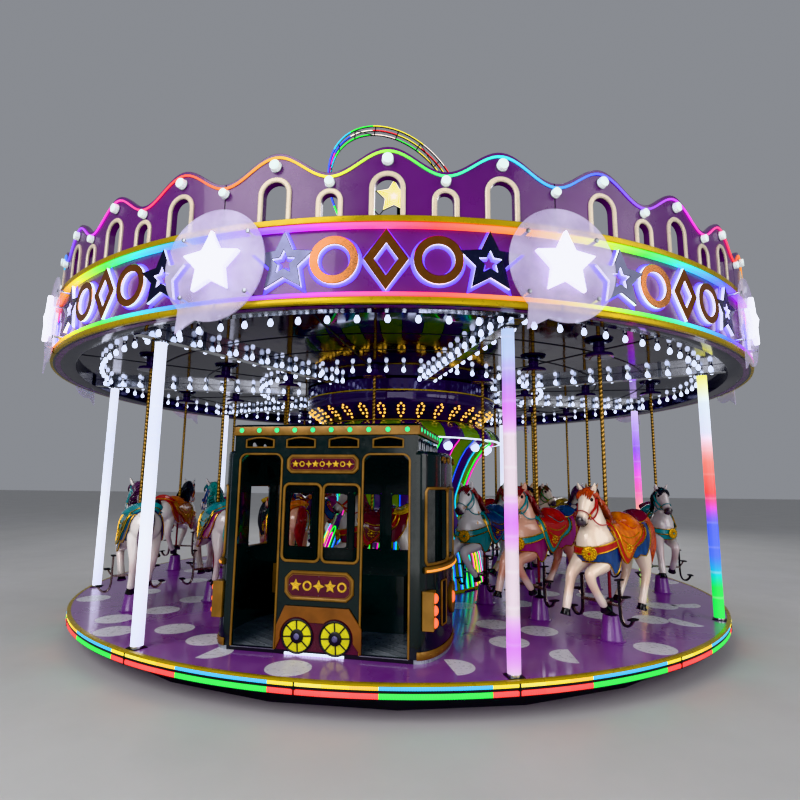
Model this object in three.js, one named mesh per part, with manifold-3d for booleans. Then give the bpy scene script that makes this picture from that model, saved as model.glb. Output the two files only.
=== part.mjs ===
import * as THREE from 'three';
import { mergeVertices } from 'three/addons/utils/BufferGeometryUtils.js';
import Module from 'manifold-3d';

// Fairground carousel: a turning deck with rows of rising horses and one
// small trolley cabin, under a canopy with a wavy crown, round a fixed
// centre column. Millimetres, +Z up, origin on the floor under the middle.
// Angles in degrees run from the -Y side towards +X.

const wasm = await Module();
wasm.setup();

// Running and seating gaps
const SEAT = 0.3;
const RUN = 10;

// Deck
const DECK_TOP = 280;
const DECK_RADIUS = 4000;
const DECK_INNER = 1240;
const DECK_THICK = 100;
const DECK_STEPS = 14;

// Fixed base and pillar
const SKIRT_RADIUS = 3700;
const SKIRT_WALL = 40;
const SKIRT_GAP = 15;
const BASE_PLATE = 20;
const PILLAR_RADIUS = 600;

// Posts, ceiling and spokes
const POST_COUNT = 8;
const POST_START = 12.2;
const POST_RING = 3904;
const POST_RADIUS = 50;
const SPOKE_UNDER = DECK_TOP + 2556;
const SPOKE_WIDTH = 100;
const SPOKE_START = 1400;
const CEILING_UNDER = DECK_TOP + 2640;
const CEILING_THICK = 40;
const CEILING_INNER = 700;
const CEILING_RADIUS = 4270;
const SPOKE_END = 4130;

// Band and crown of the canopy
const PANEL_COUNT = 11;
const PANEL_START = -1.5;
const PANEL_ANGLE = 360 / PANEL_COUNT;
const WALL_INNER = 4290;
const WALL_RADIUS = 4340;
const TRIM_RADIUS = 4384;
const BAND_BOTTOM = DECK_TOP + 2548;
const LEDGE_INNER = 4150;
const UPPER_TRIM_BOTTOM = DECK_TOP + 3136;
const UPPER_TRIM_TOP = DECK_TOP + 3188;
const CROWN_PEAK = DECK_TOP + 3728;
const CROWN_VALLEY = DECK_TOP + 3542;
const CROWN_STEPS = 12;
const BIG_WINDOW = { width: 185, top: 313 };
const SMALL_WINDOW = { width: 123, top: 193 };
const WINDOW_SILL = 10;

// Sign discs: round with a pointed tail, and a raised star
const DISC_RADIUS = 420;
const DISC_THICK = 12;
const DISC_RING = 4430;
const DISC_HEIGHT = DECK_TOP + 2875;
const DISC_STEPS = 14;
const TAIL_FROM = 252;
const TAIL_TO = 228;
const TAIL_TIP = [-295, -490];
const STANDOFF_SIDE = 273;
const STANDOFF_RISE = 220;
const SIGN_STAR_RADIUS = 245;
const SIGN_STAR_DEPTH = 50;

// Roof and top ornament
const ROOF_EDGE = DECK_TOP + 2950;
const ROOF_TOP = DECK_TOP + 4010;
const HUB_RADIUS = 900;
const HUB_THICK = 40;
const MAST_RADIUS = 320;
const ORNAMENT_MIDDLE = -70;
const HOOP_RADIUS = 1180;
const HOOP_TUBE = 14;
const HOOP_SPACING = 57;
const HOOP_STEP = 35;
const HOOP_CENTRE = 6020;
const HOOP_TURN = 29.5;
const HOOP_LEAN = 4.6;
const STEM_TOP_RADIUS = 90;
const STEM_FOOT_RADIUS = 220;
const STAR_RADIUS = 285;
const STAR_MIDDLE = -75;
const STAR_CENTRE = 5922;
const STAR_FRONT = -280;

// Horses, cups and caps: a row of up to three horses stands in each bay
const RING_RADII = [3440, 2610, 1790];
const ROW_ANGLES = [-98.8, -54.2, -10, 33.2, 77.5, 120, 169.2, -145.8];
const TROLLEY_ROW = 2;
const POLE_RADIUS = 18;
const POLE_BOTTOM = -40;
const POLE_TOP = 2720;
const CUP_HEIGHT = 208;
const CUP_BASE_RADIUS = 93;
const CUP_TOP_RADIUS = 68;
const BORE_RADIUS = POLE_RADIUS + 0.4;
const CAP_RADIUS = 133;
const CAP_THICK = 28;
const CAP_NECK = 50;
const CAP_HEIGHT = DECK_TOP + 2548;

// Trolley cabin, in a frame turned so that its flat side faces outwards
const CABIN_TURN = -11.7;
const CABIN_FACE = -3496;
const CABIN_BACK = -2368;
const CABIN_LEFT = -704;
const CABIN_RIGHT = 852;
const CABIN_FLOOR = 30;
const CABIN_EAVES = 1740;
const CABIN_HEIGHT = 1820;
const CABIN_OVERHANG = 14;
const WALL = 40;
const END_WALL = 14;
const BOW_REACH = 216;
const BOW_TOP = 1600;
const BOW_STEPS = 10;
const HOOD_TAPER = 0.94;

// Openings of the cabin, as spans along their wall and heights over the deck
const DOORWAYS = { spans: [[-660, -285], [420, 800]], head: 1570, shoulder: 60 };
const FACE_WINDOWS = { spans: [[-250, 65], [90, 390]], sill: 715, head: 1325 };
const BACK_WINDOWS = { spans: [[-672, -413], [-315, -30], [26, 311], [406, 690]], sill: 680, head: 1238 };
const TRANSOMS = { starts: [-612, -246, 126, 499], width: 248, sill: 1630, head: 1706, rise: 16 };
const FRONT_WINDOWS = { spans: [[-520, -227], [-175, 175], [227, 520]], sill: 726, head: 1298 };
const REAR_WINDOWS = { spans: [[-520, -227], [85, 410]], sill: 726, head: 1298 };
const VENTS = { count: 5, spacing: 215, width: 120, sill: 1615, head: 1700 };
const BENCH = { left: -486, right: 634, front: -2840, top: 517 };

const rad = THREE.MathUtils.degToRad;

function onRing(radius, angle, height = 0) {
  const a = rad(angle);
  return new THREE.Vector3(radius * Math.sin(a), -radius * Math.cos(a), height);
}

// Joining and cutting of closed shapes

function solid(geometry) {
  const plain = geometry.clone();
  plain.deleteAttribute('normal');
  plain.deleteAttribute('uv');
  const merged = mergeVertices(plain, 1e-3);
  return new wasm.Manifold(new wasm.Mesh({
    numProp: 3,
    vertProperties: new Float32Array(merged.attributes.position.array),
    triVerts: new Uint32Array(merged.index.array),
  }));
}

function joined(geometries) {
  return geometries.map(solid).reduce((whole, piece) => whole.add(piece));
}

function cutBy(whole, geometries) {
  return geometries.map(solid).reduce((rest, piece) => rest.subtract(piece), whole);
}

function geometryOf(manifold) {
  const mesh = manifold.getMesh();
  const geometry = new THREE.BufferGeometry();
  geometry.setAttribute('position', new THREE.BufferAttribute(new Float32Array(mesh.vertProperties), 3));
  geometry.setIndex(new THREE.BufferAttribute(new Uint32Array(mesh.triVerts), 1));
  geometry.computeVertexNormals();
  return geometry;
}

function paint(color, roughness, metalness = 0) {
  return new THREE.MeshStandardMaterial({ color, roughness, metalness });
}

function piece(name, geometry, material) {
  const mesh = new THREE.Mesh(geometry, material);
  mesh.name = name;
  return mesh;
}

// Plain shapes in place

function box(width, depth, height, x, y, bottom) {
  return new THREE.BoxGeometry(width, depth, height).translate(x, y, bottom + height / 2);
}

function upright(radiusTop, radiusBottom, bottom, top, sides) {
  const shape = new THREE.CylinderGeometry(radiusTop, radiusBottom, top - bottom, sides);
  return shape.rotateX(Math.PI / 2).translate(0, 0, (top + bottom) / 2);
}

function atSpot(geometry, spot, angle = 0) {
  return geometry.rotateZ(rad(angle)).translate(spot.x, spot.y, spot.z);
}

function turned(profile, sides) {
  const points = profile.map(([r, z]) => new THREE.Vector2(r, z));
  return new THREE.LatheGeometry(points, sides).rotateX(Math.PI / 2);
}

function outline(points) {
  return new THREE.Shape(points.map(([x, y]) => new THREE.Vector2(x, y)));
}

function slab(shape, bottom, top) {
  const options = { depth: top - bottom, bevelEnabled: false, curveSegments: 8 };
  return new THREE.ExtrudeGeometry(shape, options).translate(0, 0, bottom);
}

// A shape drawn upright, x along and y up, given a thickness from y = front to back
function panel(shape, front, back) {
  const options = { depth: back - front, bevelEnabled: false, curveSegments: 3 };
  return new THREE.ExtrudeGeometry(shape, options).rotateX(Math.PI / 2).translate(0, back, 0);
}

// Part of a ring in plan through the given angles, with its two ends drawn in
// by half a seating gap
function ringSector(inner, outer, stops) {
  const last = stops.length - 1;
  const at = (radius, index) => {
    const inset = Math.asin(SEAT / 2 / radius);
    const a = rad(stops[index]) + (index === 0 ? inset : 0) - (index === last ? inset : 0);
    return [radius * Math.sin(a), -radius * Math.cos(a)];
  };
  const outside = stops.map((stop, index) => at(outer, index));
  const inside = stops.map((stop, index) => at(inner, index)).reverse();
  return outline([...outside, ...inside]);
}

function evenStops(from, to, steps) {
  return Array.from({ length: steps + 1 }, (unused, i) => from + ((to - from) * i) / steps);
}

// Fixed base: floor plate, recessed skirt and the pillar that carries the hub
function baseFrame() {
  const top = CEILING_UNDER + CEILING_THICK;
  const skirtTop = DECK_TOP - DECK_THICK - SKIRT_GAP;
  const profile = [
    [0, 0], [SKIRT_RADIUS, 0], [SKIRT_RADIUS, skirtTop], [SKIRT_RADIUS - SKIRT_WALL, skirtTop],
    [SKIRT_RADIUS - SKIRT_WALL, BASE_PLATE], [PILLAR_RADIUS, BASE_PLATE], [PILLAR_RADIUS, top], [0, top],
  ];
  return piece('base_frame', turned(profile, 24), paint(0x101014, 0.7));
}

// Column casing: bell-shaped shaft, awning, lamp cone and drum round the pillar
function centreColumn() {
  const bore = PILLAR_RADIUS + 2 * RUN;
  const h = (z) => DECK_TOP + z;
  const profile = [
    [bore, BASE_PLATE + SEAT], [1180, BASE_PLATE + SEAT], [1180, h(20)], [1130, h(380)], [950, h(820)],
    [890, h(1080)], [960, h(1340)], [1110, h(1660)], [1340, h(1890)], [1440, h(1895)], [1435, h(1940)],
    [1350, h(2050)], [1200, h(2120)], [1085, h(2135)], [1350, h(2330)], [1365, h(2480)],
    [1365, CEILING_UNDER - RUN], [bore, CEILING_UNDER - RUN], [bore, BASE_PLATE + SEAT],
  ];
  return piece('centre_column', turned(profile, 20), paint(0x5a2a8a, 0.35));
}

// Every place where a pole stands
function poleSpots() {
  const spots = [];
  ROW_ANGLES.forEach((angle, row) => {
    RING_RADII.forEach((radius, ring) => {
      const underTrolley = row === TROLLEY_ROW && ring < 2;
      if (!underTrolley) spots.push({ angle, row, ring, radius });
    });
  });
  return spots;
}

function insideArc(angle, from, to) {
  const turn = (((angle - from) % 360) + 360) % 360;
  return turn < to - from;
}

// Deck quarter with the cups that its pole rods run through
function deckQuarter(index) {
  const from = POST_START + 90 * index;
  const to = from + 90;
  const sector = ringSector(DECK_INNER, DECK_RADIUS, evenStops(from, to, DECK_STEPS));
  const plate = slab(sector, DECK_TOP - DECK_THICK, DECK_TOP);
  const parts = [plate];
  const bores = [];
  poleSpots().filter((s) => insideArc(s.angle, from, to)).forEach((s) => {
    const spot = onRing(s.radius, s.angle, DECK_TOP);
    const cup = upright(CUP_TOP_RADIUS, CUP_BASE_RADIUS, -5, CUP_HEIGHT, 8);
    const bore = upright(BORE_RADIUS, BORE_RADIUS, -DECK_THICK - 5, CUP_HEIGHT + 5, 6);
    parts.push(atSpot(cup, spot));
    bores.push(atSpot(bore, spot, s.angle));
  });
  return piece(`deck_quarter_${index + 1}`, geometryOf(cutBy(joined(parts), bores)), paint(0x5b2f86, 0.3));
}

// Glowing tube post between deck and spoke
function post(index) {
  const shape = upright(POST_RADIUS, POST_RADIUS, DECK_TOP + SEAT, SPOKE_UNDER - SEAT, 10);
  const mesh = piece(`light_post_${index + 1}`, shape, paint(0xe8ecf5, 0.4));
  mesh.position.copy(onRing(POST_RING, POST_START + (360 / POST_COUNT) * index));
  return mesh;
}

// Ceiling quarter with two spokes below it and the round cap at each pole
function ceilingQuarter(index) {
  const from = POST_START - 3 + 90 * index;
  const to = from + 90;
  const sector = ringSector(CEILING_INNER, CEILING_RADIUS, evenStops(from, to, DECK_STEPS));
  const parts = [slab(sector, CEILING_UNDER, CEILING_UNDER + CEILING_THICK)];
  for (let i = 0; i < 2; i += 1) {
    const length = SPOKE_END - SPOKE_START;
    const depth = CEILING_UNDER - SPOKE_UNDER + 5;
    const spoke = box(SPOKE_WIDTH, length, depth, 0, -SPOKE_START - length / 2, SPOKE_UNDER);
    parts.push(spoke.rotateZ(rad(POST_START + 90 * index + 45 * i)));
  }
  const bores = [];
  const capSpots = poleSpots().filter((s) => insideArc(s.angle, from, to));
  capSpots.forEach((s) => {
    const spot = onRing(s.radius, s.angle);
    const cap = upright(CAP_RADIUS - 12, CAP_RADIUS, CAP_HEIGHT, CAP_HEIGHT + CAP_THICK, 8);
    const neck = upright(CAP_NECK, CAP_NECK, CAP_HEIGHT + CAP_THICK / 2, CEILING_UNDER + 5, 5);
    const bore = upright(BORE_RADIUS, BORE_RADIUS, CAP_HEIGHT - 5, CEILING_UNDER + CEILING_THICK + 5, 6);
    parts.push(atSpot(cap, spot), atSpot(neck, spot));
    bores.push(atSpot(bore, spot, s.angle));
  });
  const quarter = geometryOf(cutBy(joined(parts), bores));
  return piece(`ceiling_quarter_${index + 1}`, quarter, paint(0x2a2350, 0.15, 0.6));
}

// Height of the wavy top at an angle from the middle of its panel
function crownTop(angle) {
  const wave = 0.5 + 0.5 * Math.cos(rad((angle * 360) / (PANEL_ANGLE / 3)));
  return CROWN_VALLEY + (CROWN_PEAK - CROWN_VALLEY) * wave;
}

function archShape(width, bottom, spring) {
  const shape = new THREE.Shape();
  shape.moveTo(-width / 2, bottom);
  shape.lineTo(width / 2, bottom);
  shape.lineTo(width / 2, spring);
  shape.absarc(0, spring, width / 2, 0, Math.PI, false);
  shape.closePath();
  return shape;
}

function crownWindow(size, angle) {
  const spring = UPPER_TRIM_TOP + size.top - size.width / 2;
  const shape = archShape(size.width, UPPER_TRIM_TOP + WINDOW_SILL, spring);
  return panel(shape, -TRIM_RADIUS - 50, -WALL_INNER + 60).rotateZ(rad(angle));
}

// Everything above the wavy line of one panel, as one thick cutter
function crownCutter() {
  const half = PANEL_ANGLE / 2;
  const points = [];
  for (let i = 0; i <= CROWN_STEPS; i += 1) {
    const angle = THREE.MathUtils.lerp(-half, half, i / CROWN_STEPS);
    points.push([WALL_RADIUS * Math.sin(rad(angle)), crownTop(angle)]);
  }
  const side = WALL_RADIUS * Math.sin(rad(half));
  points.push([side + 100, CROWN_VALLEY], [side + 100, CROWN_PEAK + 200]);
  points.push([-side - 100, CROWN_PEAK + 200], [-side - 100, CROWN_VALLEY]);
  return panel(outline(points), -TRIM_RADIUS - 100, -3500);
}

// Sign disc on stand-offs in front of the joint between two panels
function discShape() {
  const points = evenStops(TAIL_FROM - 360, TAIL_TO, DISC_STEPS).map((angle) => (
    [DISC_RADIUS * Math.cos(rad(angle)), DISC_HEIGHT + DISC_RADIUS * Math.sin(rad(angle))]
  ));
  return outline([...points, [TAIL_TIP[0], DISC_HEIGHT + TAIL_TIP[1]]]);
}

function starShape(radius, middle, height) {
  const points = [];
  for (let i = 0; i < 10; i += 1) {
    const reach = i % 2 ? radius * 0.5 : radius;
    const a = rad(36 * i);
    points.push([middle + reach * Math.sin(a), height + reach * Math.cos(a)]);
  }
  return outline(points);
}

function signDisc() {
  const star = starShape(SIGN_STAR_RADIUS, 0, DISC_HEIGHT);
  const parts = [
    panel(discShape(), -DISC_RING, -DISC_RING + DISC_THICK),
    panel(star, -DISC_RING - SIGN_STAR_DEPTH, -DISC_RING + DISC_THICK / 2),
  ];
  for (const side of [-1, 1]) {
    const rod = upright(14, 14, WALL_RADIUS - 30, DISC_RING - DISC_THICK / 2, 4).rotateX(Math.PI / 2);
    parts.push(rod.translate(-STANDOFF_SIDE, 0, DISC_HEIGHT + side * STANDOFF_RISE));
  }
  return parts;
}

// One panel of the rounding band and crown, with its windows and sign disc
function canopyPanel(index) {
  const half = PANEL_ANGLE / 2;
  const bay = PANEL_ANGLE / 6;
  const stops = [-half, -2.5 * bay, -1.5 * bay, -0.5 * bay, 0.5 * bay, 1.5 * bay, 2.5 * bay, half];
  const ring = (inner, outer, bottom, top) => slab(ringSector(inner, outer, stops), bottom, top);
  const windows = [
    crownWindow(BIG_WINDOW, 0),
    crownWindow(BIG_WINDOW, PANEL_ANGLE / 3),
    crownWindow(BIG_WINDOW, -PANEL_ANGLE / 3),
    crownWindow(SMALL_WINDOW, PANEL_ANGLE / 6),
    crownWindow(SMALL_WINDOW, -PANEL_ANGLE / 6),
  ];
  const plain = solid(ring(WALL_INNER, WALL_RADIUS, BAND_BOTTOM, CROWN_PEAK + 50));
  const wall = cutBy(plain, [crownCutter(), ...windows]);
  const trims = [
    ring(LEDGE_INNER, TRIM_RADIUS, BAND_BOTTOM, CEILING_UNDER - SEAT),
    ring(WALL_RADIUS - 10, TRIM_RADIUS, UPPER_TRIM_BOTTOM, UPPER_TRIM_TOP),
  ];
  const sign = signDisc().map((part) => part.rotateZ(rad(half)));
  const whole = wall.add(joined([...trims, ...sign]));
  const mesh = piece(`canopy_panel_${index + 1}`, geometryOf(whole), paint(0x6b2c8f, 0.3));
  mesh.rotation.z = rad(PANEL_START + PANEL_ANGLE * index);
  return mesh;
}

// Hub on the pillar, mast, shallow cone roof and its standing edge wall
function roof() {
  const seat = CEILING_UNDER + CEILING_THICK + SEAT;
  const edge = CEILING_RADIUS - 10;
  const profile = [
    [0, seat], [HUB_RADIUS, seat], [HUB_RADIUS, seat + HUB_THICK], [MAST_RADIUS, seat + HUB_THICK],
    [MAST_RADIUS, ROOF_TOP - 50], [edge - 40, ROOF_EDGE - 15], [edge - 20, seat], [edge, seat],
    [edge, ROOF_EDGE], [MAST_RADIUS, ROOF_TOP], [0, ROOF_TOP],
  ];
  return piece('roof', turned(profile, 20), paint(0x2c2636, 0.6));
}

// Top ornament: three hoops tied by rungs on a stem, with a star before them
function hoop(step) {
  const ring = new THREE.TorusGeometry(HOOP_RADIUS - step * HOOP_STEP, HOOP_TUBE, 3, 22);
  return ring.rotateX(Math.PI / 2).translate(0, step * HOOP_SPACING, 0);
}

function rung(angle) {
  const slope = Math.atan2(HOOP_STEP, HOOP_SPACING);
  const length = 2 * Math.hypot(HOOP_SPACING, HOOP_STEP) + 10;
  const bar = new THREE.BoxGeometry(22, length, 18).rotateX(-slope);
  return bar.translate(0, 0, HOOP_RADIUS).rotateY(angle);
}

function topOrnament() {
  const rungs = 6;
  const cage = [-1, 0, 1].map(hoop);
  for (let i = 0; i < rungs; i += 1) cage.push(rung((2 * Math.PI * i) / rungs));
  cage.forEach((part) => part.rotateX(-rad(HOOP_LEAN)).rotateZ(rad(HOOP_TURN)).translate(0, 0, HOOP_CENTRE));
  const foot = ROOF_TOP + SEAT;
  const stemTop = HOOP_CENTRE - HOOP_RADIUS + 50;
  const armLength = -STAR_FRONT;
  const parts = [
    ...cage,
    upright(260, 260, foot, foot + 20, 12),
    upright(STEM_TOP_RADIUS, STEM_FOOT_RADIUS, foot + 15, stemTop, 8),
    box(60, 60, STAR_CENTRE - stemTop + 60, 0, 0, stemTop - 30),
    box(50, armLength, 50, 0, -armLength / 2, STAR_CENTRE - 25),
    panel(starShape(STAR_RADIUS, STAR_MIDDLE, STAR_CENTRE), STAR_FRONT, STAR_FRONT + 30),
  ];
  const mesh = piece('top_ornament', geometryOf(joined(parts)), paint(0x1b1b20, 0.5, 0.4));
  mesh.position.x = ORNAMENT_MIDDLE;
  return mesh;
}

// Horse, facing +X, with the pole through its withers, heights counted from the deck
function barrel() {
  const profile = [[0, -560], [172, -440], [155, -140], [166, 220], [0, 410]];
  return turned(profile, 6).rotateY(Math.PI / 2).scale(1, 0.9, 1).translate(0, 0, 875);
}

function sideCut(points, middle, width) {
  return panel(outline(points), middle - width / 2, middle + width / 2);
}

function neckAndHead() {
  const points = [
    [-60, 950], [240, 790], [400, 880], [320, 1000], [375, 980], [465, 1035],
    [400, 1140], [335, 1245], [270, 1340], [200, 1310], [100, 1180],
  ];
  return sideCut(points, 0, 130);
}

function tail() {
  const points = [
    [-500, 930], [-590, 1000], [-645, 900], [-635, 600], [-595, 600], [-580, 840], [-500, 850],
  ];
  return sideCut(points, 0, 80);
}

function stretchedForeleg() {
  const points = [[150, 790], [360, 850], [470, 640], [550, 240], [460, 225], [380, 590], [240, 700]];
  return sideCut(points, -85, 66);
}

function foldedForeleg() {
  const points = [
    [150, 790], [360, 850], [440, 620], [390, 540], [170, 280], [90, 330], [330, 620], [240, 700],
  ];
  return sideCut(points, 85, 66);
}

function hindLeg(side, hoofX, hoofZ) {
  const points = [
    [-530, 870], [-300, 830], [-400, 560], [hoofX + 45, hoofZ], [hoofX - 45, hoofZ], [-490, 570],
  ];
  return sideCut(points, side * 85, 66);
}

// Arm and bar before the rod, with an upright, a tread and a hooked foot on each side
const REST_AHEAD = 130;

function footRest() {
  const half = [
    [0, 325], [178, 325], [178, 175], [330, 232], [330, 252],
    [204, 225], [204, 549], [178, 549], [178, 345], [0, 345],
  ];
  const other = half.slice(1, -1).map(([y, z]) => [-y, z]).reverse();
  const shape = outline([...half, ...other]);
  return panel(shape, -22, 22).rotateZ(Math.PI / 2).translate(REST_AHEAD, 0, 0);
}

function horseShape() {
  const body = [barrel(), neckAndHead(), tail()];
  const legs = [stretchedForeleg(), foldedForeleg(), hindLeg(1, -345, 230), hindLeg(-1, -235, 290)];
  const arm = box(REST_AHEAD, 36, 20, REST_AHEAD / 2, 0, 325);
  const pole = upright(POLE_RADIUS, POLE_RADIUS, POLE_BOTTOM, POLE_TOP, 6);
  return geometryOf(joined([...body, ...legs, footRest(), arm, pole]));
}

const RING_NAMES = ['outer', 'middle', 'inner'];

function horses() {
  const shape = horseShape();
  return poleSpots().map((s) => {
    const mesh = piece(`horse_${RING_NAMES[s.ring]}_${s.row + 1}`, shape, paint(0xe9ded2, 0.3));
    mesh.position.copy(onRing(s.radius, s.angle, DECK_TOP));
    mesh.rotation.z = rad(s.angle + 180);
    return mesh;
  });
}

// Trolley cabin
function cabinPlan() {
  const middle = (CABIN_FACE + CABIN_BACK) / 2;
  const depth = (CABIN_BACK - CABIN_FACE) / 2;
  const shape = new THREE.Shape();
  shape.moveTo(CABIN_LEFT, CABIN_FACE);
  shape.lineTo(CABIN_RIGHT, CABIN_FACE);
  shape.absellipse(CABIN_RIGHT, middle, BOW_REACH, depth, -Math.PI / 2, Math.PI / 2, false, 0);
  shape.lineTo(CABIN_LEFT, CABIN_BACK);
  shape.absellipse(CABIN_LEFT, middle, BOW_REACH, depth, Math.PI / 2, 1.5 * Math.PI, false, 0);
  return shape;
}

// Corners of an opening, heights counted from the floor under the carousel
function rectangle(x0, z0, x1, z1) {
  return [[x0, z0], [x1, z0], [x1, z1], [x0, z1]];
}

function openingsOf({ spans, sill, head }) {
  return spans.map(([x0, x1]) => rectangle(x0, DECK_TOP + sill, x1, DECK_TOP + head));
}

// Upright wall plate with openings cut through it
function wallPlate(points, openings, front, back) {
  const cutters = openings.map((opening) => panel(outline(opening), front - WALL, back + WALL));
  return geometryOf(cutBy(solid(panel(outline(points), front, back)), cutters));
}

function outerSide() {
  const bottom = DECK_TOP + CABIN_FLOOR + SEAT;
  const top = DECK_TOP + CABIN_EAVES;
  const head = DECK_TOP + DOORWAYS.head;
  const { shoulder } = DOORWAYS;
  const notch = ([a, b]) => [
    [a, bottom], [a, head - shoulder], [a + shoulder, head],
    [b - shoulder, head], [b, head - shoulder], [b, bottom],
  ];
  const wall = [
    [CABIN_LEFT, bottom], ...DOORWAYS.spans.flatMap(notch), [CABIN_RIGHT, bottom],
    [CABIN_RIGHT, top], [CABIN_LEFT, top],
  ];
  const { width, rise } = TRANSOMS;
  const transoms = TRANSOMS.starts.map((x) => {
    const [z0, z1] = [DECK_TOP + TRANSOMS.sill, DECK_TOP + TRANSOMS.head];
    return [[x, z0], [x + width, z0], [x + width, z1 - rise], [x + width / 2, z1], [x, z1 - rise]];
  });
  const openings = [...openingsOf(FACE_WINDOWS), ...transoms];
  const plate = wallPlate(wall, openings, CABIN_FACE, CABIN_FACE + WALL);
  return piece('trolley_outer_side', plate, paint(0x0d2420, 0.3));
}

function innerSide() {
  const bottom = DECK_TOP + CABIN_FLOOR + SEAT;
  const wall = rectangle(CABIN_LEFT, bottom, CABIN_RIGHT, DECK_TOP + CABIN_EAVES);
  const plate = wallPlate(wall, openingsOf(BACK_WINDOWS), CABIN_BACK - WALL, CABIN_BACK);
  return piece('trolley_inner_side', plate, paint(0x0d2420, 0.3));
}

// Flat end wall above a bow, with a row of arched vents
function endWall(side) {
  const depth = CABIN_BACK - CABIN_FACE;
  const bottom = DECK_TOP + BOW_TOP - WALL / 2;
  const wall = rectangle(-depth / 2, bottom, depth / 2, DECK_TOP + CABIN_EAVES);
  const vents = [];
  for (let i = 0; i < VENTS.count; i += 1) {
    const middle = (i - (VENTS.count - 1) / 2) * VENTS.spacing;
    const [left, right] = [middle - VENTS.width / 2, middle + VENTS.width / 2];
    const [sill, head] = [DECK_TOP + VENTS.sill, DECK_TOP + VENTS.head];
    const spring = head - VENTS.width / 4;
    vents.push([[left, sill], [right, sill], [right, spring], [middle, head], [left, spring]]);
  }
  const start = side > 0 ? CABIN_RIGHT + SEAT : CABIN_LEFT - SEAT - END_WALL;
  const plate = wallPlate(wall, vents, 0, END_WALL).rotateZ(-Math.PI / 2);
  return plate.translate(start, (CABIN_FACE + CABIN_BACK) / 2, 0);
}

// Bowed end with windows, a lid with sloping edges and the flat end wall on it
function bow(name, side, windows) {
  const middle = (CABIN_FACE + CABIN_BACK) / 2;
  const depth = (CABIN_BACK - CABIN_FACE) / 2;
  const start = side > 0 ? CABIN_RIGHT + SEAT : CABIN_LEFT - SEAT;
  const arc = (reach, half) => evenStops(-90, 90, BOW_STEPS).map((angle) => (
    [start + side * reach * Math.cos(rad(angle)), middle + half * Math.sin(rad(angle))]
  ));
  const plan = outline([...arc(BOW_REACH, depth), ...arc(BOW_REACH - WALL, depth - WALL).reverse()]);
  const under = DECK_TOP + BOW_TOP - WALL;
  const lid = slab(outline(arc(BOW_REACH, depth)), under, DECK_TOP + BOW_TOP);
  const corners = lid.attributes.position;
  for (let i = 0; i < corners.count; i += 1) {
    if (corners.getZ(i) > under + WALL / 2) {
      corners.setX(i, start + HOOD_TAPER * (corners.getX(i) - start));
      corners.setY(i, middle + HOOD_TAPER * (corners.getY(i) - middle));
    }
  }
  const shell = slab(plan, DECK_TOP + CABIN_FLOOR + SEAT, under);
  const openings = windows.spans.map(([near, far]) => {
    const y = middle + (near + far) / 2;
    return box(700, far - near, windows.head - windows.sill, start, y, DECK_TOP + windows.sill);
  });
  const whole = cutBy(joined([shell, lid, endWall(side)]), openings);
  return piece(name, geometryOf(whole), paint(0x0d2420, 0.3));
}

function bench() {
  const bottom = DECK_TOP + CABIN_FLOOR + SEAT;
  const back = CABIN_BACK - WALL - SEAT;
  const [width, depth] = [BENCH.right - BENCH.left, back - BENCH.front];
  const height = DECK_TOP + BENCH.top - bottom;
  const seat = box(width, depth, height, BENCH.left + width / 2, back - depth / 2, bottom);
  return piece('trolley_bench', seat, paint(0x0b1f1c, 0.5));
}

function cabinRoof() {
  const grow = END_WALL + CABIN_OVERHANG;
  const width = CABIN_RIGHT - CABIN_LEFT + 2 * grow;
  const depth = CABIN_BACK - CABIN_FACE + 2 * CABIN_OVERHANG;
  const [x, y] = [(CABIN_LEFT + CABIN_RIGHT) / 2, (CABIN_FACE + CABIN_BACK) / 2];
  const height = CABIN_HEIGHT - CABIN_EAVES - SEAT;
  const cover = box(width, depth, height, x, y, DECK_TOP + CABIN_EAVES + SEAT);
  return piece('trolley_roof', cover, paint(0x0d2420, 0.3));
}

function trolley() {
  const group = new THREE.Group();
  group.rotation.z = rad(CABIN_TURN);
  const floor = slab(cabinPlan(), DECK_TOP + SEAT, DECK_TOP + CABIN_FLOOR);
  group.add(
    piece('trolley_floor', floor, paint(0x55585c, 0.5, 0.6)),
    outerSide(),
    innerSide(),
    bow('trolley_bow_front', 1, FRONT_WINDOWS),
    bow('trolley_bow_rear', -1, REAR_WINDOWS),
    cabinRoof(),
    bench(),
  );
  return group;
}

// The whole carousel
const carousel = new THREE.Group();
carousel.add(baseFrame(), centreColumn());
for (let i = 0; i < 4; i += 1) carousel.add(deckQuarter(i), ceilingQuarter(i));
for (let i = 0; i < POST_COUNT; i += 1) carousel.add(post(i));
for (let i = 0; i < PANEL_COUNT; i += 1) carousel.add(canopyPanel(i));
carousel.add(roof(), topOrnament(), trolley(), ...horses());

export default carousel;
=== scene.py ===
import math
import random

import bmesh
import bpy
from mathutils import Matrix, Vector


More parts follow.
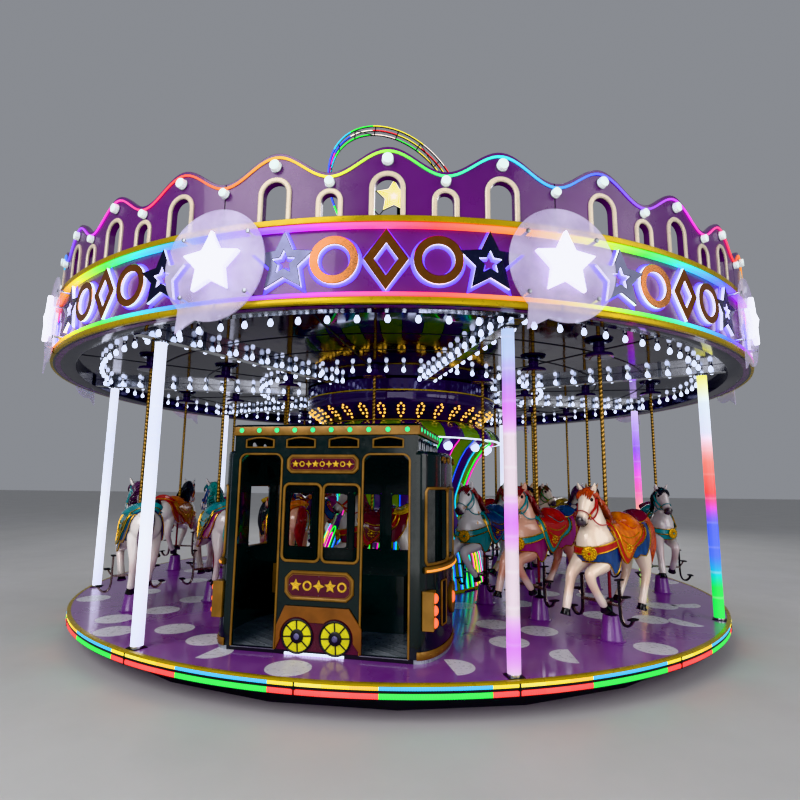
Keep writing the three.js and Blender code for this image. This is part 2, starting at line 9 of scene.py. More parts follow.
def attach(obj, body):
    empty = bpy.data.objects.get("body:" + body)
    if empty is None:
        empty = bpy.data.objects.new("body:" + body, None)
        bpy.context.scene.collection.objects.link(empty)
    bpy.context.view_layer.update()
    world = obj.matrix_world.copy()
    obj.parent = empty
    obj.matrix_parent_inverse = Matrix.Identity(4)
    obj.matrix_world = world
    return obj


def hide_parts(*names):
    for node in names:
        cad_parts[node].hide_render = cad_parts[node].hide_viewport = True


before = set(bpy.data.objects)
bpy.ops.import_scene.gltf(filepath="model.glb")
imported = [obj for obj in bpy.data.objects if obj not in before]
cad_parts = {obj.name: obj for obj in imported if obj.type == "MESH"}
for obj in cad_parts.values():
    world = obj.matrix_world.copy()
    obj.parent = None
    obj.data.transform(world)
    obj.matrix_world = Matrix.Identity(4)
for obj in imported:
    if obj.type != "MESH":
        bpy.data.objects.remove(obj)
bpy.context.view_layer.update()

# Driving sizes, shared with the solids
DECK = 0.28
DECK_RADIUS = 4.0
POST_START = 12.2
POST_COUNT = 8
POST_STEP = 360 / POST_COUNT
POST_RING = 3.904
POST_RADIUS = 0.05
SPOKE_UNDER = DECK + 2.556
CEILING_UNDER = DECK + 2.64
PANEL_COUNT = 11
PANEL_START = -1.5
PANEL_ANGLE = 360 / PANEL_COUNT
WALL_INNER = 4.29
WALL_RADIUS = 4.34
TRIM_RADIUS = 4.384
BAND_BOTTOM = DECK + 2.548
UPPER_TRIM_BOTTOM = DECK + 3.136
UPPER_TRIM_TOP = DECK + 3.188
CROWN_PEAK = DECK + 3.728
CROWN_VALLEY = DECK + 3.542
DISC_RADIUS = 0.42
DISC_FACE = 4.43
DISC_HEIGHT = DECK + 2.875
ROOF_TOP = DECK + 4.01
ORNAMENT_MIDDLE = -0.07
HOOP_RADIUS = 1.18
HOOP_CENTRE = 6.02
HOOP_TURN = 29.5
HOOP_LEAN = 4.6
HOOP_SPACING = 0.057
HOOP_STEP = 0.035
STAR_RADIUS = 0.285
STAR_PLACE = (-0.145, -0.28, 5.922)
LAMP_RING = 0.372
RING_RADII = {"outer": 3.44, "middle": 2.61, "inner": 1.79}
ROW_ANGLES = [-98.8, -54.2, -10, 33.2, 77.5, 120, 169.2, -145.8]
CUP_HEIGHT = 0.208
CAP_BOTTOM = DECK + 2.548
CABIN_TURN = -11.7
CABIN_FACE = -3.496
CABIN_BACK = -2.368
CABIN_LEFT = -0.704
CABIN_RIGHT = 0.852
BOW_REACH = 0.216

BASE = "base"
ROTOR = "rotor"
LEVEL = Matrix.Identity(4)


def spin(angle, axis="Z"):
    return Matrix.Rotation(math.radians(angle), 4, axis)


# Stands a flat shape up, with its face towards -Y
UPRIGHT = spin(90, "X")


# Shader helpers


def tint(code):
    """Linear colour of a hex code."""
    parts = [int(code[i:i + 2], 16) / 255 for i in (1, 3, 5)]
    linear = [p / 12.92 if p <= 0.04045 else ((p + 0.055) / 1.055) ** 2.4 for p in parts]
    return (*linear, 1.0)


def shade(colour, share):
    """A colour made darker or lighter."""
    return (*[min(1.0, part * share) for part in colour[:3]], 1.0)


class Value:
    """A node's output that can be calculated with."""

    def __init__(self, paint, socket):
        self.paint = paint
        self.socket = socket

    def apply(self, operation, *others):
        inputs = dict(enumerate([self, *others]))
        return self.paint.node("ShaderNodeMath", {"operation": operation}, inputs)

    def __add__(self, other):
        return self.apply("ADD", other)

    def __sub__(self, other):
        return self.apply("SUBTRACT", other)

    def __rsub__(self, other):
        inputs = {0: other, 1: self}
        return self.paint.node("ShaderNodeMath", {"operation": "SUBTRACT"}, inputs)

    def __mul__(self, other):
        return self.apply("MULTIPLY", other)

    def __gt__(self, other):
        return self.apply("GREATER_THAN", other)

    __radd__ = __add__
    __rmul__ = __mul__

    def within(self, low, high):
        """0 at low and below, 1 at high and above."""
        inputs = {0: self, 1: low, 2: high}
        return self.paint.node("ShaderNodeMapRange", {"clamp": True}, inputs)


class Paint:
    """One procedural material, built node by node."""

    def __init__(self, name, colour, roughness=0.5, metallic=0.0, fixed=None):
        self.material = bpy.data.materials.new(name)
        self.material.use_nodes = True
        self.tree = self.material.node_tree
        self.shader = self.tree.nodes["Principled BSDF"]
        self.colour = tint(colour)
        self.roughness = roughness
        self.set("Base Color", self.colour)
        self.set("Roughness", roughness)
        self.set("Metallic", metallic)
        for socket, amount in (fixed or {}).items():
            self.set(socket, amount)
        self.place = self.node("ShaderNodeTexCoord", output="Object")

    def set(self, socket, amount):
        target = self.shader.inputs[socket]
        if isinstance(amount, Value):
            self.tree.links.new(amount.socket, target)
        else:
            target.default_value = amount

    def node(self, kind, settings=None, inputs=None, output=0):
        node = self.tree.nodes.new(kind)
        for name, setting in (settings or {}).items():
            setattr(node, name, setting)
        for key, amount in (inputs or {}).items():
            if isinstance(amount, Value):
                self.tree.links.new(amount.socket, node.inputs[key])
            else:
                node.inputs[key].default_value = amount
        return Value(self, node.outputs[output])

    def axis(self, name):
        return self.node("ShaderNodeSeparateXYZ", inputs={0: self.place}, output=name)

    def stretched(self, *scale):
        return self.node("ShaderNodeMapping", inputs={0: self.place, 3: scale})

    def noise(self, scale, detail=3.0, place=None):
        inputs = {"Vector": place or self.place, "Scale": scale, "Detail": detail}
        return self.node("ShaderNodeTexNoise", inputs=inputs)

    def turn(self):
        """Share of a full turn about the upright axis."""
        inputs = {0: self.place}
        return self.node("ShaderNodeTexGradient", {"gradient_type": "RADIAL"}, inputs, 1)

    def mix(self, share, first, second):
        inputs = {0: share, 6: first, 7: second}
        return self.node("ShaderNodeMix", {"data_type": "RGBA"}, inputs, 2)

    def ramp(self, share, colours, steps=False):
        """Colours evenly spread from 0 to 1."""
        value = self.node("ShaderNodeValToRGB", inputs={0: share})
        band = value.socket.node.color_ramp
        band.interpolation = "CONSTANT" if steps else "LINEAR"
        while len(band.elements) < len(colours):
            band.elements.new(1.0)
        for index, colour in enumerate(colours):
            last = len(colours) - (0 if steps else 1)
            band.elements[index].position = index / last
            band.elements[index].color = tint(colour)
        return value

    def bump(self, height, depth):
        inputs = {"Height": height, "Distance": depth, "Strength": 1.0}
        self.set("Normal", self.node("ShaderNodeBump", inputs=inputs))
        return self

    def worn(self, vary=0.14, patch=2.5, grain=70, depth=0.0003, base=None):
        """Patches of lighter and darker colour, uneven gloss and a fine grain."""
        patches = self.noise(patch, 5.0).within(0.3, 0.7)
        first = base or self.colour
        if base is None:
            dark, light = shade(first, 1 - vary), shade(first, 1 + vary)
            self.set("Base Color", self.mix(patches, dark, light))
        else:
            self.set("Base Color", self.mix(patches * vary, base, (0.02, 0.02, 0.025, 1)))
        smears = self.noise(patch * 5, 6.0).within(0.35, 0.75)
        self.set("Roughness", smears * 0.14 + max(0.02, self.roughness - 0.05))
        return self.bump(self.noise(grain, 2.0), depth)


def glow(name, colour, strength, colours=None, repeats=1, shift=0.0, beads=0, blend=False):
    """A lit surface; with several colours they follow each other round the ride."""
    paint = Paint(name, colour, 0.35, fixed={"Emission Strength": strength})
    if colours:
        share = (paint.turn() * repeats + shift).apply("FRACT")
        lit = paint.ramp(share, colours, not blend)
    else:
        soft = paint.noise(9.0, 2.0).within(0.2, 0.8)
        lit = paint.mix(soft, shade(tint(colour), 0.88), tint(colour))
    if beads:
        dots = (paint.turn() * beads).apply("FRACT").apply("PINGPONG", 0.5)
        lit = paint.mix(dots.within(0.0, 0.3) * 0.5 + 0.5, (0.1, 0.1, 0.1, 1), lit)
    paint.set("Emission Color", lit)
    paint.set("Base Color", lit)
    return paint.bump(paint.noise(120, 1.0), 0.0002)


# Mesh helpers


def ring_point(radius, angle, height):
    a = math.radians(angle)
    return Vector((radius * math.sin(a), -radius * math.cos(a), height))


def standing(x, y, z, turn=0.0):
    """Place on a level surface."""
    return Matrix.Translation((x, y, z)) @ spin(turn)


def facing(radius, angle, height):
    """Place on an upright round wall: x along it, y up, z outwards."""
    return spin(angle) @ Matrix.Translation((0, -radius, height)) @ UPRIGHT


def arc(cx, cy, radius, start, end, steps):
    turns = [math.radians(start + (end - start) * i / steps) for i in range(steps + 1)]
    return [(cx + radius * math.cos(t), cy + radius * math.sin(t)) for t in turns]


def circle(radius, steps):
    return arc(0, 0, radius, 0, 360, steps)[:-1]


def at_deck(profile):
    """A profile of radius and height with its heights counted from the deck."""
    return [(r, DECK + z) for r, z in profile]


def mirrored(side, points):
    """Points with their second value turned to one side, 1 or -1."""
    return [(x, side * y, *rest) for x, y, *rest in points]


def rounded(x0, y0, x1, y1, radius, steps=5):
    """Outline of a rectangle with round corners."""
    points = arc(x1 - radius, y1 - radius, radius, 0, 90, steps)
    points += arc(x0 + radius, y1 - radius, radius, 90, 180, steps)
    points += arc(x0 + radius, y0 + radius, radius, 180, 270, steps)
    return points + arc(x1 - radius, y0 + radius, radius, 270, 360, steps)


def star(radius, inner, points=5):
    """Outline of a star with one point up."""
    outline = []
    for i in range(2 * points):
        reach = radius if i % 2 == 0 else inner
        a = math.radians(90 + 180 * i / points)
        outline.append((reach * math.cos(a), reach * math.sin(a)))
    return outline


def neighbours(points, looped):
    """Each point of a line, with the one before and the one after; open ends are mirrored."""
    last = len(points) - 1
    for i, point in enumerate(points):
        before = points[i - 1] if i or looped else point * 2 - points[1]
        after = points[(i + 1) % (last + 1)] if i < last or looped else point * 2 - points[i - 1]
        yield point, before, after


def through(points, steps=6):
    """A smooth line through points, which may carry more values than three."""
    result = []
    last = len(points) - 1
    for i in range(last):
        before, start = points[max(0, i - 1)], points[i]
        end, after = points[i + 1], points[min(last, i + 2)]
        for k in range(steps):
            t = k / steps
            weights = (
                -0.5 * t + t * t - 0.5 * t ** 3, 1 - 2.5 * t * t + 1.5 * t ** 3,
                0.5 * t + 2 * t * t - 1.5 * t ** 3, -0.5 * t * t + 0.5 * t ** 3,
            )
            group = zip(before, start, end, after)
            result.append(tuple(sum(w * v for w, v in zip(weights, four)) for four in group))
    result.append(tuple(points[-1]))
    return result


class Form:
    """The faces of one piece, gathered from skins over rings of points."""

    def __init__(self):
        self.mesh = bmesh.new()
        self.place = LEVEL

    def at(self, place):
        self.place = place
        return self

    def face(self, corners, paint):
        self.mesh.faces.new(corners).material_index = paint

    def skin(self, rings, paint=0, closed=True, looped=False, capped=False):
        """Faces between rings; closed joins each ring's ends, looped the last ring to the first."""
        rows = [[self.mesh.verts.new(self.place @ Vector(p)) for p in ring] for ring in rings]
        pairs = list(zip(rows, rows[1:]))
        if looped:
            pairs.append((rows[-1], rows[0]))
        for low, high in pairs:
            count = len(low)
            for i in range(count if closed else count - 1):
                j = (i + 1) % count
                self.face((low[i], low[j], high[j], high[i]), paint)
        if capped:
            self.face(rows[0][::-1], paint)
            self.face(rows[-1], paint)

    def turned(self, profile, steps, paint=0):
        """A profile of radius and height, turned about the upright axis."""
        rings = [[ring_point(r, 360 * i / steps, z) for r, z in profile] for i in range(steps)]
        self.skin(rings, paint, closed=False, looped=True)

    def plate(self, outline, low, high, paint=0):
        rings = [[(x, y, z) for x, y in outline] for z in (low, high)]
        self.skin(rings, paint, capped=True)

    def block(self, low, high, paint=0):
        (x0, y0, z0), (x1, y1, z1) = low, high
        self.plate([(x0, y0), (x1, y0), (x1, y1), (x0, y1)], z0, z1, paint)

    def tube(self, path, radius, sides=8, paint=0, looped=False, flat=1.0, roll=0.0):
        """A round or flattened tube; radius is one number or one for each point."""
        points = [Vector(p) for p in path]
        radii = radius if isinstance(radius, list) else [radius] * len(points)
        side = None
        rings = []
        for i, (point, before, after) in enumerate(neighbours(points, looped)):
            along = (after - before).normalized()
            if side is None:
                side = along.orthogonal().normalized()
                if abs(along.z) < 0.9:
                    side = along.cross(Vector((0, 0, 1))).normalized()
            side = (side - along * side.dot(along)).normalized()
            other = along.cross(side)
            ring = []
            for k in range(sides):
                a = 2 * math.pi * k / sides + roll * i
                offset = side * math.cos(a) + other * (math.sin(a) * flat)
                ring.append(point + offset * radii[i])
            rings.append(ring)
        self.skin(rings, paint, looped=looped, capped=not looped)

    def moulding(self, path, section, paint=0, looped=True):
        """A section of (aside, up) points swept along a flat path with mitred corners."""
        rings = []
        for point, before, after in neighbours([Vector(p) for p in path], looped):
            one = (point - before).normalized()
            two = (after - point).normalized()
            aside = Vector((one.y + two.y, -one.x - two.x)).normalized()
            reach = 1 / max(0.35, aside.dot(Vector((two.y, -two.x))))
            ring = []
            for across, up in section:
                spot = point + aside * (across * reach)
                ring.append((spot.x, spot.y, up))
            rings.append(ring)
        self.skin(rings, paint, looped=looped, capped=not looped)

    def ball(self, centre, radius, paint=0, sides=8, rows=5, squeeze=(1, 1, 1)):
        centre = Vector(centre)
        rings = []
        for i in range(rows + 1):
            lean = math.pi * i / rows
            ring = []
            for k in range(sides):
                a = 2 * math.pi * k / sides
                way = (math.sin(lean) * math.cos(a), math.sin(lean) * math.sin(a), -math.cos(lean))
                ring.append(centre + Vector([w * s * radius for w, s in zip(way, squeeze)]))
            rings.append(ring)
        self.skin(rings, paint)

    def mesh_data(self, name, paints, sharp=35):
        bmesh.ops.remove_doubles(self.mesh, verts=self.mesh.verts, dist=2e-5)
        bmesh.ops.dissolve_degenerate(self.mesh, edges=self.mesh.edges, dist=1e-6)
        bmesh.ops.recalc_face_normals(self.mesh, faces=self.mesh.faces)
        data = bpy.data.meshes.new(name)
        self.mesh.to_mesh(data)
        self.mesh.free()
        for paint in paints:
            data.materials.append(paint.material)
        data.shade_smooth()
        data.set_sharp_from_angle(angle=math.radians(sharp))
        return data

    def piece(self, name, body, paints, sharp=35, bevel=0.0, slot=None):
        item = add_object(name, self.mesh_data(name, paints, sharp))
        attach(item, body)
        if bevel:
            edge = item.modifiers.new("soft_edges", "BEVEL")
            edge.width = bevel
            edge.segments = 2
            edge.limit_method = "ANGLE"
            edge.harden_normals = True
        return item


def add_object(name, data):
    item = bpy.data.objects.new(name, data)
    bpy.context.scene.collection.objects.link(item)
    return item


def ring_piece(name, body, paint, slot, steps, profile):
    """A piece turned from one profile."""
    form = Form()
    form.turned(profile, steps)
    form.piece(name, body, [paint], slot=slot)


# Materials

RAINBOW = [
    "#ff2a2a", "#ff9a1a", "#f4f02a", "#39ff3a", "#20e8ff", "#3a62ff", "#c03aff", "#ff3ac0", "#ff2a2a",
]


def striped(name):
    """Green and purple stripes up the column and over its awning."""
    paint = Paint(name, "#4a2268", 0.16, fixed={"Coat Weight": 0.6})
    wave = (paint.turn() * 16).apply("FRACT") > 0.5
    stripes = paint.mix(wave, tint("#4f2a86"), tint("#84b81a"))
    return paint.worn(0.18, 3.0, 40, 0.0004, base=stripes)


def mirror(name, colour):
    paint = Paint(name, colour, 0.06, 1.0)
    return paint.worn(0.2, 1.5, 1.2, 0.004)


def tread(name):
    """Chequer plate: short raised bars in two directions."""
    paint = Paint(name, "#a9b0b8", 0.32, 0.45)
    x, y = paint.axis("X") * 55, paint.axis("Y") * 55
    bars = (x + y).apply("SINE") * (x - y).apply("COSINE").apply("ABSOLUTE")
    paint.worn(0.25, 6.0)
    return paint.bump(bars.within(0.35, 0.75), 0.005)


def brushed(name, colour, roughness, metallic=1.0):
    paint = Paint(name, colour, roughness, metallic)
    lines = paint.noise(40, 3.0, paint.stretched(1, 1, 30))
    paint.worn(0.15, 8.0)
    return paint.bump(lines, 0.0002)


def frosted(name):
    """Frosted acrylic with light smears and a faint lavender painted glow; what stands behind it shows
    through.
    """
    # Painted glow: a faint lavender emission on the acrylic, which is no lamp
    lit = {"Emission Strength": 0.12, "Emission Color": tint("#cfc8ea")}
    paint = Paint(name, "#c9c4dc", 0.3, fixed=lit)
    smears = paint.noise(3.0, 4.0).within(0.3, 0.7)
    paint.set("Base Color", paint.mix(smears, tint("#b9aed2"), tint("#d8d2e8")))
    paint.set("Alpha", smears * 0.12 + 0.34)
    return paint.bump(paint.noise(220, 2.0), 0.0002)


def tube_light(name, colours):
    """A lit tube with bands of colour up its height."""
    paint = Paint(name, "#e6eaf6", 0.3, fixed={"Emission Strength": 1.1})
    rise = (paint.axis("Z") - DECK).within(0.0, SPOKE_UNDER - DECK)
    lit = paint.ramp(rise, colours)
    modules = (paint.axis("Z") * 4.0).apply("FRACT").apply("PINGPONG", 0.5).within(0.0, 0.08)
    lit = paint.mix(modules * 0.25 + 0.75, shade(tint("#ffffff"), 0.5), lit)
    paint.set("Emission Color", lit)
    paint.set("Base Color", lit)
    return paint.bump(paint.noise(60, 2.0), 0.0004)


def deck_coat(name):
    """Purple coat with dust, scratches and slight ripples."""
    paint = Paint(name, "#8d52a0", 0.26, 0.05, {"Coat Weight": 0.5, "Coat Roughness": 0.08})
    dust = paint.noise(1.6, 6.0).within(0.35, 0.75)
    worn_colour = paint.mix(dust, tint("#82469a"), tint("#a06fb2"))
    scratches = paint.noise(55, 6.0, paint.stretched(1.0, 9.0, 1.0)).within(0.66, 0.72)
    paint.set("Base Color", paint.mix(scratches * 0.25, worn_colour, tint("#b9a0c4")))
    paint.set("Roughness", dust * 0.16 + 0.24)
    return paint.bump(paint.noise(12, 4.0), 0.0012)


BLACK = Paint("satin_black_paint", "#121216", 0.42).worn(0.3)
RUBBER = Paint("black_rubber", "#17171a", 0.62).worn(0.3, 6.0)
DECK_COAT = deck_coat("deck_purple_coat")
PURPLE = Paint("canopy_purple_gloss", "#5e2370", 0.3, 0.0, {"Coat Weight": 0.3})
PURPLE.worn(0.14, 1.2, 4.0, 0.003)
CUP_PURPLE = Paint("cup_purple_gloss", "#7d4a96", 0.25, 0.0, {"Coat Weight": 0.3}).worn(0.15)
DOT_WHITE = Paint("dot_white_vinyl", "#dcd9e2", 0.3).worn(0.05, 5.0)
GOLD = Paint("gold_trim_paint", "#b79a14", 0.3, 0.45).worn(0.12, 3.0)
OLD_GOLD = Paint("cabin_gold_paint", "#8f6a38", 0.36, 0.5).worn(0.25, 9.0)
LEAF_GOLD = Paint("plaque_gold_leaf", "#e0b440", 0.28, 0.35).worn(0.3, 30.0)
BROWN = Paint("wheel_arch_brown", "#7d4c20", 0.42, 0.1).worn(0.25, 7.0)
GREEN = Paint("cabin_dark_green", "#0a1817", 0.2, 0.0, {"Coat Weight": 0.4}).worn(0.25, 4.0, 25, 0.0003)
BURGUNDY = Paint("plaque_burgundy", "#4a0d22", 0.22, 0.0, {"Coat Weight": 0.4}).worn(0.2, 10.0)
CREAM = Paint("window_frame_cream", "#d6c8b4", 0.3, 0.0, {"Coat Weight": 0.3}).worn(0.08, 5.0)
CHROME = brushed("polished_chrome", "#c9ccd2", 0.1)
STEEL = brushed("grey_steel", "#8d9096", 0.32)
COPPER = brushed("rose_copper_mirror", "#b97a50", 0.12)
SMOKE = brushed("smoked_mirror", "#55566a", 0.12)
CEILING = mirror("dark_mirror_ceiling", "#2c2840")
ROOFING = Paint("roof_dark_sheet", "#2a2633", 0.55).worn(0.3, 1.5, 12, 0.002)
COLUMN = striped("column_stripes")
DRUM = Paint("drum_purple_gloss", "#33205c", 0.12, 0.3, {"Coat Weight": 0.6}).worn(0.15, 2.0, 3.0, 0.003)
TREAD = tread("cabin_tread_plate")
ACRYLIC = frosted("frosted_acrylic_painted_glow")
YELLOW = Paint("wheel_yellow", "#d6d020", 0.25, 0.0, {"Coat Weight": 0.4}).worn(0.15, 9.0)
HUB_GREY = Paint("wheel_hub_violet", "#6f6c96", 0.3, 0.3).worn(0.2, 9.0)
BULB = glow("clear_bulb_lit", "#dfe9ff", 3.0)
WARM = glow("warm_bulb_lit", "#ffc95a", 2.0)
GREEN_LAMP = glow("green_lamp_lit", "#22d884", 1.5)
ORANGE_LAMP = glow("orange_lamp_lit", "#ff6a18", 1.5)
WHITE_GLOW = glow("white_acrylic_lit", "#f6f7ff", 2.0)
# The knobs are no lamps: their faint white emission is a painted glow
KNOB_WHITE_GLOW = Paint("knob_white_acrylic_painted_glow", "#dcebe8", 0.3, 0.0, {"Emission Strength": 0.25}).worn(0.06, 9.0)
# Violet halo: painted light on the wall round each band ornament, a glowing sheet and no lamp
VIOLET_GLOW = glow("violet_halo_lit", "#5a20ff", 1.0)
WHITE_LED = glow("white_strip_lit", "#e8f2ff", 1.6, beads=900)
AMBER_LED = glow("amber_strip_lit", "#ffa63c", 1.2)
CROWN_LED = glow("crown_rainbow_lit", "#ffffff", 1.25, RAINBOW, 5, 0.1, blend=True)
BAND_LED = glow("band_rainbow_lit", "#ffffff", 1.25, RAINBOW, 6, 0.45, blend=True)

# Strip colours in eighths of each of the deck's sixteen parts
EDGE_PARTS = 16
UPPER_EDGE = ["#22c8ff"] * 3 + ["#ffe81a", "#fff05a", "#ffe81a", "#ffd21a", "#22c8ff"]
LOWER_EDGE = ["#10e03c"] * 3 + ["#ff2a1a", "#ff2a1a", "#ff3a2a", "#ff2a1a", "#10e03c"]
DECK_LED_UPPER = glow("deck_upper_strip_lit", "#ffffff", 1.25, UPPER_EDGE, EDGE_PARTS, 0.958, 1400)
DECK_LED_LOWER = glow("deck_lower_strip_lit", "#ffffff", 1.25, LOWER_EDGE, EDGE_PARTS, 0.958, 1400)
NEON_CODES = {
    "blue": "#1a52ff", "cyan": "#18dcff", "green": "#1cff30", "yellow": "#fff020", "red": "#ff1820",
    "pink": "#ff20c8", "white": "#fff2e8",
}
NEON = {name: glow(f"neon_{name}_lit", code, 1.3) for name, code in NEON_CODES.items()}
NEON_NAMES = list(NEON)
STAR_YELLOW = glow("star_yellow_lit", "#b8b410", 0.9)

# Bands of the light tubes, from the deck up
WHITE_TUBE = ["#e6ecff", "#f2f6ff", "#e6ecff", "#eef2ff"]
PALE, PINK, VIOLET, SKY = "#a99ea6", "#dc7af3", "#a688d2", "#acbcda"
VIOLET_TUBE = [PALE, PINK, PALE, PALE, PALE, PINK, PALE, PALE, PALE, PINK, VIOLET, SKY, SKY]
COLOUR_TUBE = [
    "#1ee04a", "#1ed04a", "#2a6cff", "#3a5cff", "#ff4038", "#ff8a7a", "#e8ecff", "#e8f4ff", "#f0ea5a",
]
BACK_TUBE = ["#b8ff5a", "#ffd95a", "#ff6ac8", "#a05cff", "#e0d0ff"]


# Deck, cups and posts


def deck_edge():
    ring_piece("deck_gold_lip", ROTOR, GOLD, "gold_trim", 180, at_deck([
        (3.968, 0.0015), (3.998, 0.0015), (4.004, -0.003), (4.004, -0.016), (3.98, -0.017)]))
    for name, paint, top, foot in (
        ("deck_light_upper", DECK_LED_UPPER, -0.016, -0.04),
        ("deck_light_lower", DECK_LED_LOWER, -0.06, -0.096),
    ):
        ring_piece(name, ROTOR, paint, "led_strip", 240, at_deck([
            (3.98, top), (4.0015, top), (4.0055, (top + foot) / 2), (4.0015, foot), (3.98, foot)]))
    gap = Form()
    gap.turned(at_deck([(4.0012, -0.04), (4.0012, -0.06)]), 180)
    gap.turned(at_deck([(4.0012, -0.096), (4.0012, -0.1), (3.95, -0.1005)]), 180)
    for i in range(EDGE_PARTS):
        gap.at(facing(DECK_RADIUS, POST_START + 360 / EDGE_PARTS * i, DECK))
        gap.block((-0.006, -0.1, -0.01), (0.006, -0.014, 0.0072))
        gap.block((-0.014, -0.062, -0.01), (0.014, -0.052, 0.0068))
    gap.piece("deck_edge_channel", ROTOR, [BLACK])


# Dots on the deck: angle and radius, and the turn of the half dots that a joint cuts
DOTS = [
    (-112.1, 3.58), (-98.7, 3.08), (-92.2, 3.75), (-83.2, 2.79), (-81, 3.3), (-70.2, 3.26), (-66.6, 3.78),
    (-57.4, 2.75), (-50.8, 3.18), (-49.3, 3.65), (-42.2, 3.8), (-37.1, 3.39), (-28.4, 3.44), (-24, 3.66, -90),
    (-12.2, 3.8), (6.3, 3.66, -90), (17.7, 3.14), (20.9, 2.58), (22.4, 3.62, 60), (22.4, 1.76), (26.5, 2.93),
    (34.6, 3.8), (42.3, 2.02), (46.5, 2.9), (50, 3.34), (52.2, 3.65, 60), (62.9, 3.34), (63.5, 2.04),
    (66.2, 3.57, 120), (66.7, 2.56), (90, 3.76), (90.6, 2.48), (90.8, 1.9), (104.4, 2.66), (111.8, 3.2),
    (116, 3.7), (119.3, 1.8), (131, 2.2), (134, 3.3), (143, 2.75), (147, 3.7), (152, 1.75), (158, 3.1),
    (171, 3.75), (175, 2.3), (184, 3.2), (190, 1.8), (196, 2.6), (199, 3.7), (209, 3.1), (214, 2.1),
    (224, 3.6), (229, 2.7), (238, 3.2), (241, 1.85), (263, 2.1), (300, 2.1), (316, 1.75),
]
DOT_RADIUS = 0.172
DOT_REACH = 3.79


def deck_dots():
    dots = Form()
    for angle, radius, *cut in DOTS:
        turn = angle + sum(cut)
        dots.at(standing(*ring_point(min(radius, DOT_REACH), angle, DECK), turn))
        outline = arc(0, 0, DOT_RADIUS, 0, 190, 30) if cut else circle(DOT_RADIUS, 30)
        dots.plate(outline, -0.001, 0.0008)
    dots.piece("deck_dots", ROTOR, [DOT_WHITE], 60)


def pole_spots():
    for row, angle in enumerate(ROW_ANGLES):
        for ring, radius in RING_RADII.items():
            if row != 2 or ring == "inner":
                yield f"horse_{ring}_{row + 1}", radius, angle


def cups_and_caps():
    """Cone cups on the deck with rubber boots, and flat round caps under the ceiling."""
    cups, boots, caps = Form(), Form(), Form()
    rim, low = CUP_HEIGHT, CAP_BOTTOM
    cup = [
        (0.095, 0.0005), (0.117, 0.0005), (0.1185, 0.003), (0.116, 0.006), (0.0985, 0.008), (0.095, 0.013),
        (0.0705, rim - 0.006), (0.068, rim + 0.0015), (0.058, rim + 0.003), (0.021, rim + 0.003),
    ]
    boot = [
        (0.05, rim + 0.001), (0.052, rim + 0.008), (0.036, rim + 0.012), (0.034, rim + 0.018),
        (0.0215, rim + 0.026), (0.0195, rim + 0.026),
    ]
    cap = [
        (0.0195, low - 0.003), (0.122, low - 0.003), (0.1335, low), (0.136, low + 0.004),
        (0.125, low + 0.028), (0.12, low + 0.03), (0.062, low + 0.03), (0.052, low + 0.036),
        (0.052, CEILING_UNDER - 0.006), (0.064, CEILING_UNDER),
    ]
    for _, radius, angle in pole_spots():
        place = standing(*ring_point(radius, angle, DECK), angle)
        cups.at(place).turned(cup, 36)
        boots.at(place).turned(boot, 24)
        caps.at(standing(*ring_point(radius, angle, 0))).turned(cap, 32)
    cups.piece("pole_cups", ROTOR, [CUP_PURPLE])
    boots.piece("pole_boots", ROTOR, [RUBBER], slot="black_rubber")
    caps.piece("pole_caps", ROTOR, [DRUM])


def light_posts():
    """Lit tubes, each between a black and chrome fitting on the deck and one under its spoke."""
    colours = {0: VIOLET_TUBE, 1: COLOUR_TUBE, 2: BACK_TUBE}
    fittings = Form()
    foot_plate = rounded(-0.062, -0.062, 0.062, 0.062, 0.012, 3)
    low, high = DECK + 0.012, SPOKE_UNDER - 0.012
    rings = [(0.02, low), (POST_RADIUS - 0.004, low), (POST_RADIUS, low + 0.004)]
    rings += [(POST_RADIUS, low + (high - low) * k / 12) for k in range(1, 12)]
    rings += [(POST_RADIUS, high - 0.004), (POST_RADIUS - 0.004, high), (0.02, high)]
    for i in range(POST_COUNT):
        angle = POST_START + POST_STEP * i
        spot = ring_point(POST_RING, angle, 0)
        tube = Form()
        tube.at(standing(*spot)).turned(rings, 28)
        paint = tube_light(f"light_tube_{i + 1}_lit", colours.get(i, WHITE_TUBE))
        item = tube.piece(f"light_tube_{i + 1}", ROTOR, [paint], slot="light_tube")
        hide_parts(f"light_post_{i + 1}")
        for foot, way in ((DECK, 1), (SPOKE_UNDER, -1)):
            fittings.at(standing(spot.x, spot.y, foot, angle))
            fittings.plate(foot_plate, min(0, way * 0.006), max(0, way * 0.006))
            fittings.turned([(0.0525, way * 0.006), (0.0525, way * 0.022), (0.046, way * 0.022)], 28, 1)
    fittings.piece("light_tube_fittings", ROTOR, [BLACK, CHROME], bevel=0.0012)


# Ceiling: spokes and rows of bulbs


BULB_GLASS = [
    (0.0, -0.084), (0.015, -0.079), (0.0235, -0.064), (0.0225, -0.046), (0.014, -0.03), (0.012, -0.022),
]
BULB_HOLDER = [(0.016, -0.026), (0.019, -0.017), (0.019, 0.001)]
ROW_ASIDE = 0.098
ROW_START = 1.5
ROW_END = 4.0
ROW_STEPS = 12


def sector_spots():
    """Bulb places round the eight ceiling sectors, each sector outlined."""
    for i in range(POST_COUNT):
        spoke = POST_START + POST_STEP * i
        for side in (-1, 1):
            for k in range(ROW_STEPS + 1):
                along = ROW_START + (ROW_END - ROW_START) * k / ROW_STEPS
                turn = math.degrees(math.asin(side * ROW_ASIDE / along))
                yield ring_point(along, spoke + turn, CEILING_UNDER)
        for radius, count, inset in ((3.9, 12, 3.4), (2.02, 7, 6.0)):
            for k in range(count):
                angle = spoke + inset + (POST_STEP - 2 * inset) * k / (count - 1)
                yield ring_point(radius, angle, CEILING_UNDER)


